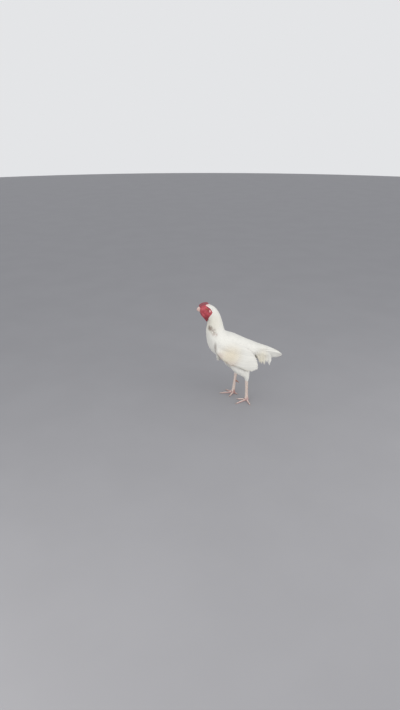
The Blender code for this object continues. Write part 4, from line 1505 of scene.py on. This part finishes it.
def growScutes():
    batches = []
    for side in sides:
        look = scuteLook["shank"]
        points = nodePoints("shank_" + side)
        hock = points[points[:, 2] > points[:, 2].max() - 0.002].mean(axis=0)
        ankle = points[points[:, 2] < 0.018].mean(axis=0)
        steps = np.arange(hock[2] - 0.004, 0.016, -look["step"])
        for column in (-1, 1):
            turn = look["turn"] * column
            gaze = np.array([math.cos(turn), math.sin(turn), 0.0])
            roots = []
            for z in steps + look["step"] / 2 * (column > 0):
                middle = ankle + (hock - ankle) * (z - ankle[2]) / (hock[2] - ankle[2])
                roots.append([middle[0] + gaze[0] * 0.02, middle[1] + gaze[1] * 0.02, z])
            roots = castInward(np.array(roots), -gaze)
            heights = (-0.0004, 0.00035)
            batches.append(layScutes(roots, look["length"], look["width"], heights, [0.0, 0.0, -1.0]))
        look = scuteLook["toe"]
        for toe in toes:
            along = boxPlace(f"claw_{toe}_{side}") - soleAt[side]
            along[2] = 0
            length = np.linalg.norm(along) - 0.006
            along = unit(along)
            reach = np.arange(0.014, length, look["step"])
            above = soleAt[side] + along * reach[:, None] + np.array([0, 0, 0.030])
            roots = castInward(above, np.array([0.0, 0.0, -1.0]))
            widths = look["width"] * np.interp(reach / length, (0, 1), look["narrow"])
            batches.append(layScutes(roots, look["length"], widths, (-0.0003, 0.0003), along))
    buildCoat("scutes", batches, materials["scute"])


growScutes()


# Horn, bill and eyes

def buildClaws():
    claws = [f"claw_{toe}_{side}" for side in sides for toe in toes]
    for name, nodes, voxel in (("claw", claws, 0.0005), ("spur", ["spur_left", "spur_right"], 0.0006)):
        finishPiece(remeshed(name + "s", nodes, voxel, 0.0002, 3), materials[name], nodes)


beakLook = {
    "voxel": 0.0005,
    "nostril": (0.0022, 0.0010),
    "nostrilDepth": 0.0010,
    "nostrilLip": (0.0036, 0.0010),
    "lipShift": (0, 0.0016),
    "lipHeight": 0.0004,
    "culmen": 0.0005,
    "baseShrink": 0.05,
    "root": 0.0026,  # how far the bill goes in under the face
}


def buildBeak():
    look = beakLook
    for node in ("beak_upper", "beak_lower"):
        beak = remeshed(node + "_horn", [node], look["voxel"], 0.00025, 5)
        places, middle = pointsOf(beak.data), boxPlace(node)
        fromBase = places[:, 0] - boxPlace(node, 0.0)[0]
        drawnIn = look["baseShrink"] * (1 - smoothStep(fromBase, 0.0, 0.006))
        places[:, 1:] += (middle - places)[:, 1:] * drawnIn[:, None]
        places[:, 0] -= look["root"] * (1 - smoothStep(fromBase, 0.0, 0.0022))
        movePoints(beak.data, places)
        if node == "beak_upper":
            places, ups = pointsOf(beak.data), normalsOf(beak.data)
            across = places[:, 1] - middleY
            away = places[:, [0, 2]] - boxPlace(node, 0.22, 0.5, 0.62)[[0, 2]]
            slit = bell(np.linalg.norm(away / look["nostril"], axis=1), 0.0, 1.0)
            lip = bell(np.linalg.norm((away - look["lipShift"]) / look["nostrilLip"], axis=1), 0.0, 1.0)
            nostril = (look["lipHeight"] * lip - look["nostrilDepth"] * slit) * (np.abs(across) > 0.002)
            ridge = look["culmen"] * bell(across, 0.0, 0.0012) * (ups[:, 2] > 0.2)
            movePoints(beak.data, places + ups * (nostril + ridge)[:, None])
        finishPiece(beak, materials["beak"], [node])


def buildEyes():
    for side in sides:
        outward, forward, up = eyeAxes(side)
        bpy.ops.mesh.primitive_uv_sphere_add(segments=40, ring_count=28, radius=eyeRadius, location=(0, 0, 0))
        eye = bpy.context.object
        eye.name = "eyeball_" + side
        places = pointsOf(eye.data)
        turned = places[:, :1] * forward + places[:, 1:2] * up + places[:, 2:] * outward
        angle = np.arccos(np.clip(places[:, 2] / eyeRadius, -1, 1))
        bulge = 0.00045 * (1 - smoothStep(angle, 0.2, math.radians(48)))
        movePoints(eye.data, turned * (1 + bulge / eyeRadius)[:, None] + eyeAt[side])
        editMesh(eye, turnOutward)
        giveAttribute(eye.data, "fromPupil", angle / math.radians(47))
        finishPiece(eye, materials["eye"], ["eye_" + side])


rimLook = {  # along the eyeball in radians, off it in metres
    "past": 0.055, "halfWidth": 0.075, "lift": 0.00035, "halfThickness": 0.00048,
}


def buildLidRims():  # the thick rim of both lids, along the almond opening
    tube = 0.1
    for side in sides:
        outward, forward, up = eyeAxes(side)
        bpy.ops.mesh.primitive_torus_add(
            major_segments=56, minor_segments=10, major_radius=1.0, minor_radius=tube, location=(0, 0, 0)
        )
        rim = bpy.context.object
        rim.name = "lid_rim_" + side
        x, y, z = pointsOf(rim.data).T
        turn = np.arctan2(y, x)
        angle = lidOpening(turn) + rimLook["past"] + (np.hypot(x, y) - 1.0) / tube * rimLook["halfWidth"]
        reach = eyeRadius + rimLook["lift"] + z / tube * rimLook["halfThickness"]
        aim = forward * np.cos(turn)[:, None] + up * np.sin(turn)[:, None]
        aim = outward * np.cos(angle)[:, None] + aim * np.sin(angle)[:, None]
        movePoints(rim.data, eyeAt[side] + aim * reach[:, None])
        editMesh(rim, turnOutward)
        for name in ("bare", "peak", "comb", "lobe", "scaly", "deep"):
            giveAttribute(rim.data, name, np.full(len(x), name == "bare"))
        finishPiece(rim, materials["skin"])


buildClaws()
buildBeak()
buildEyes()
buildLidRims()
print("horn and eyes made")


# Floor, light and camera

stageLook = {
    "floor": (0.300, 0.300, 0.318),
    "world": (0.97, 0.98, 1.0),
    "worldStrength": 0.80,
    "lampColour": (1.0, 0.975, 0.93),
    "lamps": {  # place, size and power
        "key": ((-0.8, 2.2, 1.9), 2.2, 19.5),
        "fill": ((1.9, 1.6, 0.9), 2.2, 25.0),
        "side": ((-1.9, 1.8, 0.4), 2.0, 22.0),
    },
}


def buildStage():
    look, scene = stageLook, bpy.context.scene
    bpy.ops.mesh.primitive_circle_add(vertices=96, radius=14, fill_type="NGON", location=(0, 0, 0))
    floor = bpy.context.object
    floor.name = "floor"
    made, tree, shader, place = newMaterial("floor", 0.9)
    grain = noiseMask(tree, place, 3.0, 0.3, 0.7)
    dark = tuple(0.97 * value for value in look["floor"])
    feed(tree, shader["Base Color"], blend(tree, grain, look["floor"], dark))
    floor.data.materials.append(made)
    scene.world = bpy.data.worlds.new("studio")
    scene.world.use_nodes = True
    background = scene.world.node_tree.nodes["Background"].inputs
    background["Color"].default_value = (*look["world"], 1)
    background["Strength"].default_value = look["worldStrength"]
    for name, (place, size, power) in look["lamps"].items():
        lamp = bpy.data.lights.new(name, "AREA")
        lamp.size, lamp.energy, lamp.color = size, power, look["lampColour"]
        lit = newObject(name, lamp)
        lit.location = place
        lit.rotation_euler = (Vector((0, 0, 0.3)) - Vector(place)).to_track_quat("-Z", "Y").to_euler()
    scene.view_settings.view_transform = "Standard"


cameraLook = {"fromSole": (1.098, 2.510, 1.5), "turn": (66.03, 0.0, 162.0), "lens": 27.03, "sensor": 36.0}


def buildCamera():
    made = bpy.data.cameras.new("camera")
    made.lens, made.sensor_width = cameraLook["lens"], cameraLook["sensor"]
    camera = newObject("camera", made)
    camera.location = Vector(soleAt["left"]) + Vector(cameraLook["fromSole"])
    camera.rotation_euler = [math.radians(angle) for angle in cameraLook["turn"]]
    bpy.context.scene.camera = camera


buildStage()
buildCamera()
